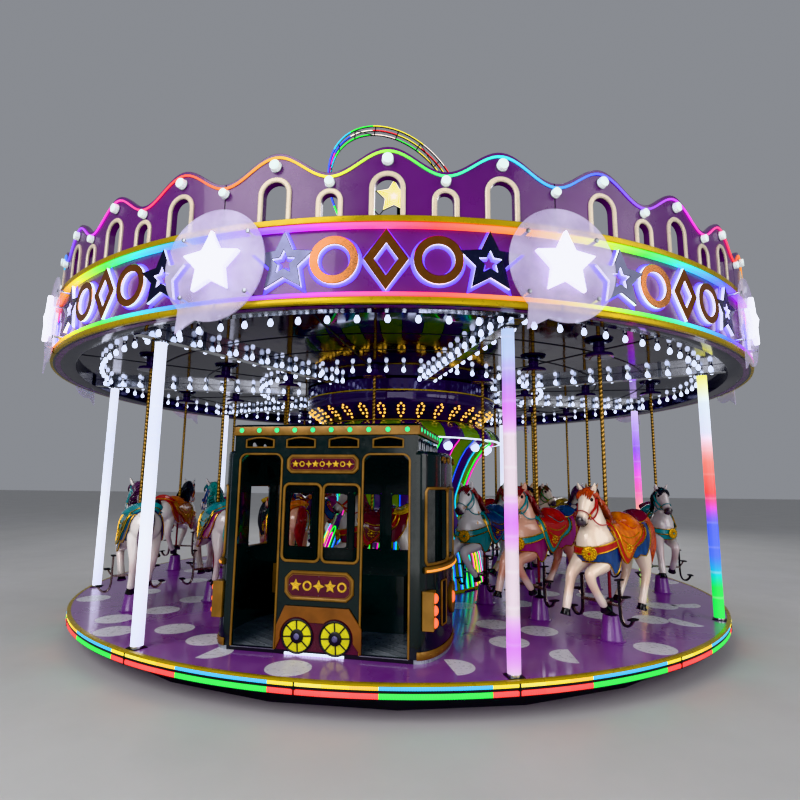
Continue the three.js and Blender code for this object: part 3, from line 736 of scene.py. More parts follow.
def ceiling():
    """Bulbs in their holders, chrome spokes with clamps, and strips over the joints."""
    glass, holders, spokes, frames = Form(), Form(), Form(), Form()
    for spot in sector_spots():
        place = Matrix.Translation(spot)
        glass.at(place).turned(BULB_GLASS, 8)
        holders.at(place).turned(BULB_HOLDER, 8)
    top = CEILING_UNDER
    for i in range(POST_COUNT):
        angle = POST_START + POST_STEP * i
        spokes.at(standing(0, 0, 0, angle))
        spokes.block((-0.0515, -4.132, SPOKE_UNDER - 0.0012), (0.0515, -1.398, top))
        for k in range(7):
            y = -1.6 - 0.38 * k
            spokes.block((-0.053, y - 0.02, SPOKE_UNDER - 0.004), (0.053, y + 0.02, top), 1)
        frames.at(standing(0, 0, 0, angle + POST_STEP / 2))
        frames.block((-0.012, -4.12, top - 0.004), (0.012, -1.39, top))
    frames.at(LEVEL)
    for inner in (2.72, 3.3):
        outer = inner + 0.016
        frames.turned([(inner, top), (inner, top - 0.004), (outer, top - 0.004), (outer, top)], 120)
    glass.piece("ceiling_bulbs", ROTOR, [BULB], slot="lamp_glass")
    holders.piece("ceiling_bulb_holders", ROTOR, [CHROME], slot="chrome_tube")
    spokes.piece("ceiling_spokes", ROTOR, [CHROME, STEEL], bevel=0.003, slot="chrome_tube")
    frames.piece("ceiling_joint_strips", ROTOR, [BLACK])


# Canopy band and crown

BIG_WINDOW = (0.185, 0.313)
SMALL_WINDOW = (0.123, 0.193)
WINDOW_SILL = UPPER_TRIM_TOP + 0.01
BAY = PANEL_ANGLE / 3
PANEL_GAP = 0.07
FRAME_WIDTH = 0.037
CROWN_STEPS = 720
# Windows of a panel: angle from its middle, then width and height
WINDOWS = [
    (-BAY, BIG_WINDOW), (-BAY / 2, SMALL_WINDOW), (0, BIG_WINDOW), (BAY / 2, SMALL_WINDOW), (BAY, BIG_WINDOW),
]


def crown_top(angle):
    """Height of the wavy edge at an angle from the middle of its panel."""
    wave = 0.5 + 0.5 * math.cos(math.radians(angle * 360 / BAY))
    return CROWN_VALLEY + (CROWN_PEAK - CROWN_VALLEY) * wave


def crown_strip(form, spans):
    """A stretch of wall; spans are angle, lower and upper height."""
    rings = []
    for angle, low, high in spans:
        corners = ((WALL_INNER, low), (WALL_RADIUS, low), (WALL_RADIUS, high), (WALL_INNER, high))
        rings.append([ring_point(r, angle, z) for r, z in corners])
    form.skin(rings, capped=True)


def canopy_wall(index):
    form = Form()
    form.at(standing(0, 0, 0, PANEL_START + PANEL_ANGLE * index))
    half = PANEL_ANGLE / 2 - PANEL_GAP
    edge = -half
    for middle, (width, top) in [*WINDOWS, (None, (0, 0))]:
        reach = math.degrees(width / 2 / WALL_RADIUS)
        end = half if middle is None else middle - reach
        count = max(2, math.ceil((end - edge) / 0.45))
        angles = [edge + (end - edge) * i / count for i in range(count + 1)]
        crown_strip(form, [(a, BAND_BOTTOM, crown_top(a)) for a in angles])
        if middle is None:
            break
        spring = UPPER_TRIM_TOP + top - width / 2
        lows, highs = [], []
        for i in range(13):
            t = math.pi * i / 12
            a = middle - reach * math.cos(t)
            lows.append((a, BAND_BOTTOM, WINDOW_SILL))
            highs.append((a, spring + width / 2 * math.sin(t), crown_top(a)))
        crown_strip(form, lows)
        crown_strip(form, highs)
        edge = middle + reach
    item = form.piece(f"canopy_wall_{index + 1}", ROTOR, [PURPLE], slot="canopy_purple")
    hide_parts(f"canopy_panel_{index + 1}")


def window_frames():
    frames = Form()
    half = FRAME_WIDTH / 2
    section = [
        (-half, -0.002), (-half, 0.01), (-0.01, 0.016), (0.01, 0.016), (half, 0.01), (half, -0.002),
    ]
    for index in range(PANEL_COUNT):
        for middle, (width, top) in WINDOWS:
            angle = PANEL_START + PANEL_ANGLE * index + middle
            frames.at(facing(WALL_RADIUS - 0.001, angle, UPPER_TRIM_TOP))
            reach = width / 2 + half
            arch = arc(0, top - width / 2, reach, 0, 180, 16)
            frames.moulding([(reach, -0.01), *arch, (-reach, -0.01)], section, looped=False)
    frames.piece("crown_window_frames", ROTOR, [CREAM], slot="window_frame")


def knobs():
    """Round white buttons above the windows, larger ones at the peaks, with a faint painted glow."""
    knob = Form()
    for k in range(2 * 3 * PANEL_COUNT):
        r, height = (0.041, DECK + 3.622) if k % 2 == 0 else (0.035, DECK + 3.462)
        knob.at(facing(WALL_RADIUS, PANEL_START + BAY / 2 * k, height))
        knob.turned([(r, -0.003), (r, 0.036), (r * 0.94, 0.043), (r * 0.8, 0.046), (0, 0.047)], 24)
        knob.turned([(r + 0.004, -0.002), (r + 0.004, 0.005), (r - 0.001, 0.006)], 24, 1)
    knob.piece("crown_knobs", ROTOR, [KNOB_WHITE_GLOW, STEEL])


def canopy_trims():
    """Gold trims, light strips and ledge of the band, its joints, and the crown's edge and light."""
    low, top = BAND_BOTTOM, UPPER_TRIM_TOP
    ring_piece("band_lower_gold_trim", ROTOR, GOLD, "gold_trim", 200, [
        (4.2, low + 0.012), (4.372, low + 0.001), (4.385, low + 0.004), (4.3895, low + 0.02),
        (4.388, low + 0.04), (4.38, low + 0.052)])
    ring_piece("band_upper_gold_trim", ROTOR, GOLD, "gold_trim", 200, [
        (4.335, top + 0.001), (4.378, top), (4.388, top - 0.008), (4.3895, top - 0.026),
        (4.386, top - 0.046), (4.374, top - 0.052)])
    for name, foot in (("band_light_lower", DECK + 2.6), ("band_light_upper", DECK + 3.104)):
        ring_piece(name, ROTOR, BAND_LED, "led_strip", 240, [
            (4.33, foot), (4.378, foot), (4.386, foot + 0.006), (4.388, foot + 0.016),
            (4.386, foot + 0.026), (4.378, foot + 0.032), (4.33, foot + 0.032)])
    ring_piece("band_ledge", ROTOR, CEILING, "ceiling_mirror", 180, [
        (4.15, CEILING_UNDER - 0.001), (4.15, low + 0.014), (4.165, low + 0.004), (4.36, low + 0.001)])
    line, edge, seams = Form(), Form(), Form()
    wave = []
    for i in range(CROWN_STEPS):
        angle = 360 * i / CROWN_STEPS
        wave.append((PANEL_START + angle, crown_top(angle)))
    line.tube([ring_point(WALL_RADIUS + 0.006, a, z - 0.034) for a, z in wave], 0.0085, 6, looped=True)
    line.piece("crown_light", ROTOR, [CROWN_LED], slot="led_strip")
    for index in range(PANEL_COUNT):
        seams.at(standing(0, 0, 0, PANEL_START + PANEL_ANGLE * (index + 0.5)))
        for half, front, back, foot, head in (
            (0.012, WALL_RADIUS - 0.004, WALL_INNER, low + 0.01, CROWN_VALLEY - 0.004),
            (0.0045, TRIM_RADIUS + 0.0085, WALL_RADIUS, UPPER_TRIM_BOTTOM - 0.001, top + 0.001),
            (0.0045, TRIM_RADIUS + 0.009, WALL_RADIUS, low, low + 0.052),
        ):
            seams.block((-half, -front, foot), (half, -back, head))
    seams.piece("panel_joints", ROTOR, [BLACK])
    middle = (WALL_INNER + WALL_RADIUS) / 2
    edge.tube([ring_point(middle, a, z) for a, z in wave], 0.0262, 6, looped=True, flat=0.25)
    edge.piece("crown_edge", ROTOR, [PURPLE])


def sign_discs():
    """Frosted round discs with a pointed tail, each with a thick lit star."""
    discs, screws, stars, rods = Form(), Form(), Form(), Form()
    outline = [*arc(0, 0, DISC_RADIUS, -108, 228, 64), (-0.295, -0.49)]
    thick = 0.012
    screw = [(0.017, thick - 0.001), (0.016, thick + 0.004), (0.008, thick + 0.006), (0, thick + 0.006)]
    for index in range(PANEL_COUNT):
        angle = PANEL_START + PANEL_ANGLE * (index + 0.5)
        place = facing(DISC_FACE - thick, angle, DISC_HEIGHT)
        discs.at(place).plate(outline, 0.0, thick)
        for across, up in ((-0.273, 0.22), (0.273, 0.22), (-0.273, -0.22), (0.273, -0.22)):
            spot = place @ Matrix.Translation((across, up, 0))
            screws.at(spot).turned(screw, 14)
            rods.at(spot).turned([(0.0145, -0.096), (0.0145, 0.0005)], 12)
        stars.at(place).plate(star(0.246, 0.124), thick - 0.0005, 0.062)
    discs.piece("sign_discs", ROTOR, [ACRYLIC], 60, slot="white_acrylic")
    screws.piece("sign_screws", ROTOR, [STEEL])
    rods.piece("sign_standoffs", ROTOR, [CHROME], slot="chrome_tube")
    stars.piece("sign_stars", ROTOR, [WHITE_GLOW], bevel=0.011, slot="white_acrylic")


def band_ornaments():
    """Thick stars, rings and diamonds on the band, mirror-faced and lit at the sides, each in a painted halo
    of violet light on the wall.
    """
    sides, fronts, halos = Form(), Form(), Form()
    width, radius, tip = 0.03, 0.16, 0.17
    side, front, halo = [
        [(-width - wide, low), (-width - slim, high), (width + slim, high), (width + wide, low)]
        for wide, slim, low, high in (
            (0, 0, 0.016, 0.042), (0.001, -0.003, 0.0415, 0.046), (0.02, 0.01, -0.002, 0.002),
        )
    ]
    copper_ring = (circle(radius - 0.016, 28), 0)
    smoked_star = (star(radius, radius * 0.48), 1)
    diamond = ([(0, tip), (-0.12, 0), (0, -tip), (0.12, 0)], 0)
    for index in range(PANEL_COUNT):
        row = (smoked_star, copper_ring, diamond, copper_ring, smoked_star)
        for k, (path, finish) in enumerate(row):
            angle = PANEL_START + PANEL_ANGLE * index + 4.75 * (k - 2)
            place = facing(WALL_RADIUS, angle, DECK + 2.865)
            sides.at(place).moulding(path, side)
            fronts.at(place).moulding(path, front, finish)
            halos.at(place).moulding(path, halo)
    sides.piece("band_ornament_sides", ROTOR, [WHITE_GLOW])
    fronts.piece("band_ornament_fronts", ROTOR, [COPPER, SMOKE])
    halos.piece("band_ornament_painted_halos", ROTOR, [VIOLET_GLOW])


# Top ornament


def hoop_point(angle, step, out=0.0):
    """Point on one of the three hoops; step is -1 for the front one and 1 for the back one."""
    a = math.radians(angle)
    radius = HOOP_RADIUS - step * HOOP_STEP + out
    return Vector((radius * math.sin(a), step * HOOP_SPACING, radius * math.cos(a)))


# Colours round each hoop in equal arcs, from its lowest point
HOOP_COLOURS = {
    -1: "red yellow green blue blue cyan green yellow yellow white red red red pink blue cyan",
    0: "green cyan blue red pink blue white red yellow red yellow green green yellow red red",
    1: "blue red yellow green cyan green green white green yellow red yellow red green cyan blue",
}


def top_ornament():
    """Three lit hoops tied by rungs, on a stem, with a nested star before them."""
    rims, lights, stars = Form(), Form(), Form()
    hoops = standing(ORNAMENT_MIDDLE, 0, HOOP_CENTRE, HOOP_TURN) @ spin(-HOOP_LEAN, "X")
    rims.at(hoops)
    lights.at(hoops)
    for step, colours in HOOP_COLOURS.items():
        row = colours.split()
        part = 360 / len(row)
        rims.tube([hoop_point(5 * i, step, -0.01) for i in range(72)], 0.011, 8, looped=True)
        for i, colour in enumerate(row):
            path = [hoop_point(180 + part * (i + k / 8), step, -0.003) for k in range(9)]
            lights.tube(path, 0.0125, 8, NEON_NAMES.index(colour))
    for i in range(18):
        rims.tube([hoop_point(20 * i, step, -0.012) for step in (-1.1, 1.1)], 0.009, 8)
        if i % 3 == 1:
            rims.tube([hoop_point(20 * i, -1, -0.01), hoop_point(20 * i + 20, 1, -0.01)], 0.006, 6)
    stem_top = HOOP_CENTRE - HOOP_RADIUS + 0.05
    foot = ROOF_TOP + 0.0005
    star_y, star_z = STAR_PLACE[1:]
    rims.at(standing(ORNAMENT_MIDDLE, 0, 0))
    rims.turned([
        (0, foot), (0.262, foot), (0.262, foot + 0.018), (0.225, foot + 0.028), (0.095, stem_top - 0.02),
        (0.088, stem_top), (0, stem_top)], 36)
    rims.tube([(0, 0, stem_top - 0.03), (0, 0, star_z + 0.03)], 0.03, 14)
    rims.tube([(0, 0, star_z), (0, star_y + 0.01, star_z)], 0.022, 12)
    face = Matrix.Translation(STAR_PLACE) @ UPRIGHT
    rims.at(face).plate(star(STAR_RADIUS, STAR_RADIUS / 2), -0.03, -0.004)
    stars.at(face).plate(star(STAR_RADIUS - 0.004, STAR_RADIUS / 2 - 0.003), -0.006, -0.001, 1)
    stars.plate(star(0.075, 0.037), -0.002, 0.003)
    for size in (0.262, 0.208, 0.154, 0.104):
        loop = [(x, y, 0.001) for x, y in star(size, size * 0.52)]
        stars.tube(loop, 0.0065, 6, looped=True)
    lights.at(face)
    for k, (x, y) in enumerate(circle(LAMP_RING, 15)):
        colour = ["yellow", "green", "green", "cyan"][k % 4]
        lights.ball((x, y, -0.012), 0.02, NEON_NAMES.index(colour), 12, 8)
    rims.tube([(x, y, -0.022) for x, y in circle(LAMP_RING, 36)], 0.01, 8, looped=True)
    for i in range(5):
        x, y = math.cos(math.radians(18 + 72 * i)), math.sin(math.radians(18 + 72 * i))
        rims.tube([(r * x, r * y, -0.022) for r in (0.26, LAMP_RING + 0.003)], 0.008, 8)
    rims.piece("ornament_frame", ROTOR, [BLACK], slot="ornament_black")
    lights.piece("ornament_lights", ROTOR, NEON.values(), slot="led_strip")
    item = stars.piece("ornament_star", ROTOR, [NEON["white"], STAR_YELLOW])
    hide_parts("top_ornament")


# Fixed centre column

# Outlines of radius and height over the deck
COLUMN_PROFILE = [
    (1.18, -0.255), (1.18, 0.02), (1.165, 0.12), (1.13, 0.38), (1.05, 0.6), (0.95, 0.82), (0.9, 0.98),
    (0.89, 1.08), (0.9, 1.18), (0.96, 1.34), (1.025, 1.5), (1.11, 1.66), (1.21, 1.79), (1.335, 1.888),
]
AWNING_PROFILE = [
    (1.338, 1.89), (1.438, 1.894), (1.44, 1.905), (1.436, 1.945), (1.405, 2.005), (1.35, 2.052),
    (1.28, 2.092), (1.2, 2.121), (1.088, 2.137),
]
CONE_PROFILE = [(1.086, 2.138), (1.09, 2.142), (1.345, 2.328), (1.351, 2.336)]
DRUM_PROFILE = [
    (1.351, 2.336), (1.354, 2.42), (1.36, 2.474), (1.366, 2.482), (1.366, 2.622), (1.3, 2.629),
    (0.63, 2.6295),
]
AWNING_STEPS = 320
AWNING_FOLDS = 32
ARCH_COUNT = 32
ARCH_STEP = 360 / ARCH_COUNT
ARCH_MIDDLE = 5.6


def column_radius(height):
    for (r0, z0), (r1, z1) in zip(COLUMN_PROFILE, COLUMN_PROFILE[1:]):
        if z0 <= height <= z1:
            return r0 + (r1 - r0) * (height - z0) / (z1 - z0)


def centre_column():
    """Bell-shaped shaft, scalloped awning, cone and drum, and the lit hem of the awning."""
    shaft, awning, top = Form(), Form(), Form()
    shaft.turned(at_deck([(0.64, -0.258), *COLUMN_PROFILE]), 128)
    item = shaft.piece("column_shaft", BASE, [COLUMN], 50, slot="column_stripes")
    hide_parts("centre_column")
    rings = []
    for i in range(AWNING_STEPS):
        angle = 360 * i / AWNING_STEPS
        dent = 1 - abs(math.sin(math.radians(angle * AWNING_FOLDS / 2)))
        ring = []
        for r, z in AWNING_PROFILE:
            share = min(1.0, max(0.0, (z - 1.9) / 0.06)) * min(1.0, (2.137 - z) / 0.05)
            ring.append(ring_point(r - 0.012 * share * dent, angle, DECK + z))
        rings.append(ring)
    awning.skin(rings, closed=False, looped=True)
    awning.piece("column_awning", BASE, [COLUMN], 50, slot="column_stripes")
    top.turned(at_deck(CONE_PROFILE), 96)
    top.turned(at_deck(DRUM_PROFILE), 96)
    top.piece("column_drum", BASE, [DRUM])
    ring_piece("awning_hem_light", BASE, WHITE_LED, "led_strip", 160, at_deck([
        (1.402, 1.8935), (1.41, 1.8915), (1.436, 1.8915), (1.4405, 1.895), (1.4405, 1.907), (1.437, 1.909)]))


def column_lights():
    """Neon lines and nested arches up the shaft, globes, leaves of bulbs and gilded rings."""
    lines, globes, clusters, gilding = Form(), Form(), Form(), Form()
    for i in range(ARCH_COUNT):
        colour = ["blue", "cyan", "green", "pink"][i % 4]
        heights = [0.9 + (1.885 - 0.9) * k / 19 for k in range(20)]
        path = [ring_point(column_radius(z) + 0.006, ARCH_STEP * i, DECK + z) for z in heights]
        lines.tube(path, 0.0065, 6, NEON_NAMES.index(colour))
    for i in range(ARCH_COUNT):
        middle = ARCH_STEP * i + ARCH_MIDDLE
        pair = [("cyan", "green"), ("pink", "yellow"), ("green", "pink"), ("cyan", "blue")][i % 4]
        for reach, top, colour in ((3.4, 0.8, pair[0]), (2.2, 0.72, pair[1])):
            leg = [(reach, 0.03), (reach, 0.2), (reach, 0.4), (reach, top - 0.12)]
            bow = [(reach * a, top - 0.12 + 0.07 * z) for a, z in arc(0, 0, 1, 20, 160, 7)]
            outline = leg + bow + [(-a, z) for a, z in reversed(leg)]
            path = [ring_point(column_radius(z) + 0.007, middle + a, DECK + z) for a, z in outline]
            lines.tube(path, 0.007, 6, NEON_NAMES.index(colour))
    for i in range(ARCH_COUNT // 2):
        spot = ring_point(1.27, 2 * ARCH_STEP * i + ARCH_MIDDLE, DECK + 1.82)
        globes.at(Matrix.Translation(spot)).ball((0, 0, -0.012), 0.055, 0, 20, 12)
        globes.turned([(0.03, 0.036), (0.032, 0.05), (0.032, 0.07)], 16, 1)
    leaf = [
        (0, 0.92), (-1, 0.78), (1, 0.78), (-1.15, 0.58), (1.15, 0.58), (-0.9, 0.38), (0.9, 0.38), (0, 0.18),
    ]
    for i in range(ARCH_COUNT):
        for across, up in leaf:
            radius = 1.09 + (1.345 - 1.09) * up
            height = 2.142 + (2.328 - 2.142) * up
            spot = ring_point(radius + 0.004, ARCH_STEP * i + across * 1.5, DECK + height)
            clusters.at(Matrix.Translation(spot)).ball((0, 0, 0), 0.0155, 0, 7, 4)
    for profile in (
        [(1.352, 2.47), (1.366, 2.47), (1.3675, 2.476), (1.3675, 2.486), (1.362, 2.49)],
        [(1.084, 2.13), (1.098, 2.132), (1.1, 2.14), (1.094, 2.147)],
        [(1.18, 0.002), (1.189, 0.006), (1.189, 0.028), (1.175, 0.034)],
    ):
        gilding.turned(at_deck(profile), 120)
    lines.piece("column_neon_lines", BASE, NEON.values(), slot="led_strip")
    globes.piece("awning_globes", BASE, [BULB, GOLD], slot="lamp_glass")
    clusters.piece("cone_bulb_leaves", BASE, [WARM], slot="lamp_glass")
    gilding.piece("column_gilded_rings", BASE, [GOLD], slot="gold_trim")


# Trolley cabin

CABIN = standing(0, 0, 0, CABIN_TURN)
CABIN_MIDDLE = (CABIN_FACE + CABIN_BACK) / 2
CABIN_HALF = (CABIN_BACK - CABIN_FACE) / 2


def on_face(x=0.0, height=0.0, out=0.0):
    """Place on the cabin's outer face: x along, y up, z outwards."""
    return CABIN @ Matrix.Translation((x, CABIN_FACE - out, DECK + height)) @ UPRIGHT


def bow_point(turn, height, out=0.0, end=1):
    """Point on a bowed end; turn runs from -90 at the outer face to 90 at the back."""
    a = math.radians(turn)
    edge = CABIN_RIGHT if end > 0 else CABIN_LEFT
    x = edge + end * (BOW_REACH + out) * math.cos(a)
    return Vector((x, CABIN_MIDDLE + (CABIN_HALF + out) * math.sin(a), DECK + height))


def on_bow(turn, height, out=0.0, end=1):
    """Place on a bowed end: x along, y up, z outwards."""
    a = math.radians(turn)
    normal = Vector((end * CABIN_HALF * math.cos(a), BOW_REACH * math.sin(a), 0)).normalized()
    heading = math.degrees(math.atan2(normal.x, -normal.y))
    return CABIN @ Matrix.Translation(bow_point(turn, height, out, end)) @ spin(heading) @ UPRIGHT


HALF_ROUND = [
    (-0.011, -0.001), (-0.01, 0.005), (-0.005, 0.009), (0.005, 0.009), (0.01, 0.005), (0.011, -0.001),
]


def thin(share):
    """The half-round moulding at a share of its width."""
    return [(x * share, y) for x, y in HALF_ROUND]


# Windows of the bowed ends as turns and heights, the top of the bows and the vents above them
BOW_WINDOWS = {1: [(-67.2, -23.7), (-18.1, 18.1), (23.7, 67.2)], -1: [(-67.2, -23.7), (8.7, 46.6)]}
BOW_SILL = 0.726
BOW_HEAD = 1.298
BOW_TOP = 1.6
EAVES = 1.74
END_WALL = 0.014
END_SILL = 1.585
VENTS = [-0.43, -0.215, 0.0, 0.215, 0.43]
VENT_HALF = 0.06
VENT_SILL = 1.615
VENT_SPRING = 1.67
# Openings of the outer and the inner side: left and right edge, sill and head
DOORWAYS = [(-0.662, -0.283), (0.418, 0.802)]
DOOR_SILL, DOOR_HEAD = 0.033, 1.572
SIDE_WINDOWS = [(-0.252, 0.067), (0.088, 0.392)]
SIDE_SILL, SIDE_HEAD = 0.713, 1.327
TRANSOMS = [-0.612, -0.246, 0.126, 0.499]
TRANSOM_WIDTH = 0.248
TRANSOM_SILL, TRANSOM_HEAD = 1.628, 1.69
BACK_WINDOWS = [(-0.672, -0.413), (-0.315, -0.03), (0.026, 0.311), (0.406, 0.69)]
BACK_SILL, BACK_HEAD = 0.68, 1.238
LAMP_HEIGHT = 1.77


def on_end(side):
    """Place on the flat wall above a bowed end: x along it, y up, z outwards."""
    edge = CABIN_RIGHT + 0.0003 if side > 0 else CABIN_LEFT - 0.0003
    return CABIN @ Matrix.Translation((edge, CABIN_MIDDLE, DECK)) @ spin(side * 90) @ UPRIGHT


def vent_arch(middle):
    turns = [math.pi * k / 8 for k in range(9)]
    return [(middle + VENT_HALF * math.cos(t), VENT_SPRING + 0.03 * math.sin(t)) for t in turns]


def end_wall(shell, side):
    """Flat wall above a bowed end, with a gap for each arched vent."""
    shell.at(on_end(side))
    left = -CABIN_HALF
    for middle in VENTS:
        right = middle - VENT_HALF
        shell.plate([(left, END_SILL), (right, END_SILL), (right, EAVES), (left, EAVES)], 0, END_WALL)
        left = middle + VENT_HALF
        shell.plate([(right, END_SILL), (left, END_SILL), (left, VENT_SILL), (right, VENT_SILL)], 0, END_WALL)
        shell.plate([*vent_arch(middle), (right, EAVES), (left, EAVES)], 0, END_WALL)
    right = CABIN_HALF
    shell.plate([(left, END_SILL), (right, END_SILL), (right, EAVES), (left, EAVES)], 0, END_WALL)


def bow_wall(shell, end, first, last, bottom, top):
    """A stretch of a bowed end between two turns, 40 mm thick."""
    count = max(2, math.ceil((last - first) / 4))
    rings = []
    for i in range(count + 1):
        turn = first + (last - first) * i / count
        spots = ((0, bottom), (0, top), (-0.04, top), (-0.04, bottom))
        rings.append([bow_point(turn, z, out, end) for out, z in spots])
    shell.skin(rings, capped=True)


def cabin_bows():
    """The bowed ends with their windows, rounded tops and end walls, and the roof."""
    low, lid = 0.0303, BOW_TOP - 0.04
    hood = [
        (0, lid), (0, lid + 0.01), (-0.004, lid + 0.022), (-0.012, lid + 0.032), (-0.024, lid + 0.038),
        (-0.036, BOW_TOP),
    ]
    for name, end in (("trolley_bow_front", 1), ("trolley_bow_rear", -1)):
        shell = Form()
        shell.at(CABIN)
        edge = -90
        for first, last in BOW_WINDOWS[end]:
            bow_wall(shell, end, edge, first, low, lid)
            bow_wall(shell, end, first, last, low, BOW_SILL)
            bow_wall(shell, end, first, last, BOW_HEAD, lid)
            edge = last
        bow_wall(shell, end, edge, 90, low, lid)
        turns = [-90 + 5 * i for i in range(37)][::end]
        shell.skin([[bow_point(turn, z, out, end) for turn in turns] for out, z in hood], capped=True)
        end_wall(shell, end)
        item = shell.piece(f"{name}_shell", ROTOR, [GREEN], slot="cabin_green")
        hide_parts(name)
    roof = Form()
    roof.at(CABIN)
    layers = [(-0.006, 1.7405), (0.0, 1.7405), (0.0, 1.8), (-0.004, 1.812), (-0.014, 1.8195), (-0.06, 1.82)]
    roof_rings(roof, layers, 0, True)
    item = roof.piece("trolley_roof_cover", ROTOR, [GREEN], slot="cabin_green")
    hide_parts("trolley_roof")


def roof_rings(form, layers, paint, capped):
    """Skin over the roof's rounded plan; layers are how far it grows and its height."""
    rings = []
    for grow, z in layers:
        left, right = CABIN_LEFT - 0.028 - grow, CABIN_RIGHT + 0.028 + grow
        front, back = CABIN_FACE - 0.014 - grow, CABIN_BACK + 0.014 + grow
        plan = rounded(left, front, right, back, 0.02 + max(0, grow), 3)
        rings.append([(x, y, DECK + z) for x, y in plan])
    form.skin(rings, paint, capped=capped)


def bow_band(form, section, reach, paint, side, steps=44):
    """A moulding bent round a bowed end between two turns."""
    form.at(CABIN)
    rings = []
    for i in range(steps + 1):
        turn = -reach + 2 * reach * i / steps
        rings.append([bow_point(turn, z, out, side) for z, out in section])
    form.skin(rings, paint, capped=True)


def bow_window_edge(side, first, last):
    """Closed line just outside a window of a bowed end, with cut corners."""
    left, right, sill, head = first - 2.4, last + 2.4, BOW_SILL - 0.006, BOW_HEAD + 0.006
    spots = [(left + 3, sill), (right - 3, sill), (right, sill + 0.03), (right, head - 0.03)]
    spots += [(right - 3, head), (left + 3, head), (left, head - 0.03), (left, sill + 0.03)]
    line = []
    for (t0, z0), (t1, z1) in zip(spots, spots[1:] + spots[:1]):
        line += [(t0 + (t1 - t0) * k / 6, z0 + (z1 - z0) * k / 6) for k in range(6)]
    return [bow_point(turn, z, 0.002, side) for turn, z in line]


def bow_trims(gold, side):
    """Window edges, bands, rivets, vents, seams and scrolls of one bowed end."""
    for first, last in BOW_WINDOWS[side]:
        gold.at(CABIN).tube(bow_window_edge(side, first, last), 0.0115, 8, looped=True)
    band = [(0.028, 0.001), (0.028, 0.006), (0.034, 0.009), (0.08, 0.009), (0.086, 0.006), (0.086, 0.001)]
    bow_band(gold, band, 86, 2, side)
    for i in range(13):
        gold.at(on_bow(-72 + 12 * i, 0.057, 0.009, side)).ball((0, 0, 0), 0.007, 0, 8, 4)
    shelf = [(0.656, 0.001), (0.656, 0.022), (0.662, 0.028), (0.696, 0.028), (0.703, 0.022), (0.703, 0.001)]
    bow_band(gold, shelf, 72, 2, side, 40)
    gold.at(on_end(side))
    for middle in VENTS:
        vent = [(middle - VENT_HALF, VENT_SILL), (middle + VENT_HALF, VENT_SILL), *vent_arch(middle)]
        gold.moulding(vent, [(x, y + END_WALL) for x, y in thin(0.5)], 1)
    gold.at(CABIN)
    for turn in (-40, 40):
        gold.tube([bow_point(turn, z, 0.0, side) for z in (1.3, 1.56)], 0.0022, 5, 1)
    for way in (-1, 1):
        for curl, turn in ((way, -20), (-way, -33)):
            scroll, radii = [], []
            for t in range(19):
                reach = 0.036 - 0.0016 * t
                a = math.radians(24 * t)
                scroll.append((curl * reach * math.cos(a), reach * math.sin(a), 0.002 + 0.0006 * t))
                radii.append(0.0085 - 0.0003 * t)
            gold.at(on_bow(way * turn, 1.53, 0.006, side)).tube(scroll, radii, 6, 2)


def cabin_trims():
    """Gold trims of doorways, windows, transoms, ends and fascia, and liners at the back."""
    gold, liners = Form(), Form()
    gold.at(on_face())
    corner = 0.06
    for x0, x1 in DOORWAYS:
        path = [(x1, DOOR_SILL), *arc(x1 - corner, DOOR_HEAD - corner, corner, 0, 90, 6)]
        path += [*arc(x0 + corner, DOOR_HEAD - corner, corner, 90, 180, 6), (x0, DOOR_SILL)]
        gold.moulding(path, thin(0.75), looped=False)
        gold.block((x0, 0.026, -0.03), (x1, 0.034, 0.004), 1)
    for x0, x1 in SIDE_WINDOWS:
        gold.moulding(rounded(x0, SIDE_SILL, x1, SIDE_HEAD, 0.045), thin(0.95))
    for x0 in TRANSOMS:
        x1 = x0 + TRANSOM_WIDTH
        shares = [i / 8 for i in range(9)]
        bow = [(x1 - TRANSOM_WIDTH * t, TRANSOM_HEAD + 0.02 * math.sin(math.pi * t)) for t in shares]
        gold.moulding([(x0, TRANSOM_SILL), (x1, TRANSOM_SILL), *bow], thin(0.6))
    for side in (1, -1):
        bow_trims(gold, side)
    gold.at(CABIN)
    fascia = [(0.0, 1.728), (0.005, 1.73), (0.006, 1.738), (0.006, 1.793), (0.0045, 1.8), (0.0, 1.801)]
    roof_rings(gold, fascia, 2, False)
    gold.piece("trolley_gold_trims", ROTOR, [OLD_GOLD, STEEL, OLD_GOLD], slot="gold_trim")
    liners.at(CABIN @ Matrix.Translation((0, CABIN_BACK - 0.0405, DECK)) @ UPRIGHT)
    for x0, x1 in BACK_WINDOWS:
        section = [(-0.014, 0), (-0.013, 0.006), (0.006, 0.006), (0.008, 0)]
        liners.moulding(rounded(x0, BACK_SILL, x1, BACK_HEAD, 0.042), section)
    liners.piece("trolley_window_liners", ROTOR, [GREEN], slot="cabin_green")


def notched(x0, y0, x1, y1, cut):
    """Outline of a board with stepped corners."""
    half = cut * 0.45
    right = [(x1 - cut, y0), (x1 - half, y0 + half), (x1, y0 + cut), (x1, y1 - cut), (x1 - half, y1 - half)]
    left = [(x0 + cut, y1), (x0 + half, y1 - half), (x0, y1 - cut), (x0, y0 + cut), (x0 + half, y0 + half)]
    return [(x0 + cut, y0), *right, (x1 - cut, y1), *left]


def plaque_ornament(form, middle, height, size, count):
    """A row of gilded stars with five and four points, and rings between them."""
    low, high = 0.008, 0.0125
    ring = [(-size * 0.09, low), (-size * 0.07, high), (size * 0.07, high), (size * 0.09, low)]
    shapes = [star(size * 0.58, size * 0.27), circle(size * 0.36, 16), star(size * 0.56, size * 0.24, 4)]
    for k in range(count):
        x = middle + (k - (count - 1) / 2) * size * 1.12
        outline = [(x + a, height + b) for a, b in shapes[k % 3]]
        if k % 3 == 1:
            form.moulding(outline, ring, 2)
        else:
            form.plate(outline, low, high, 2)


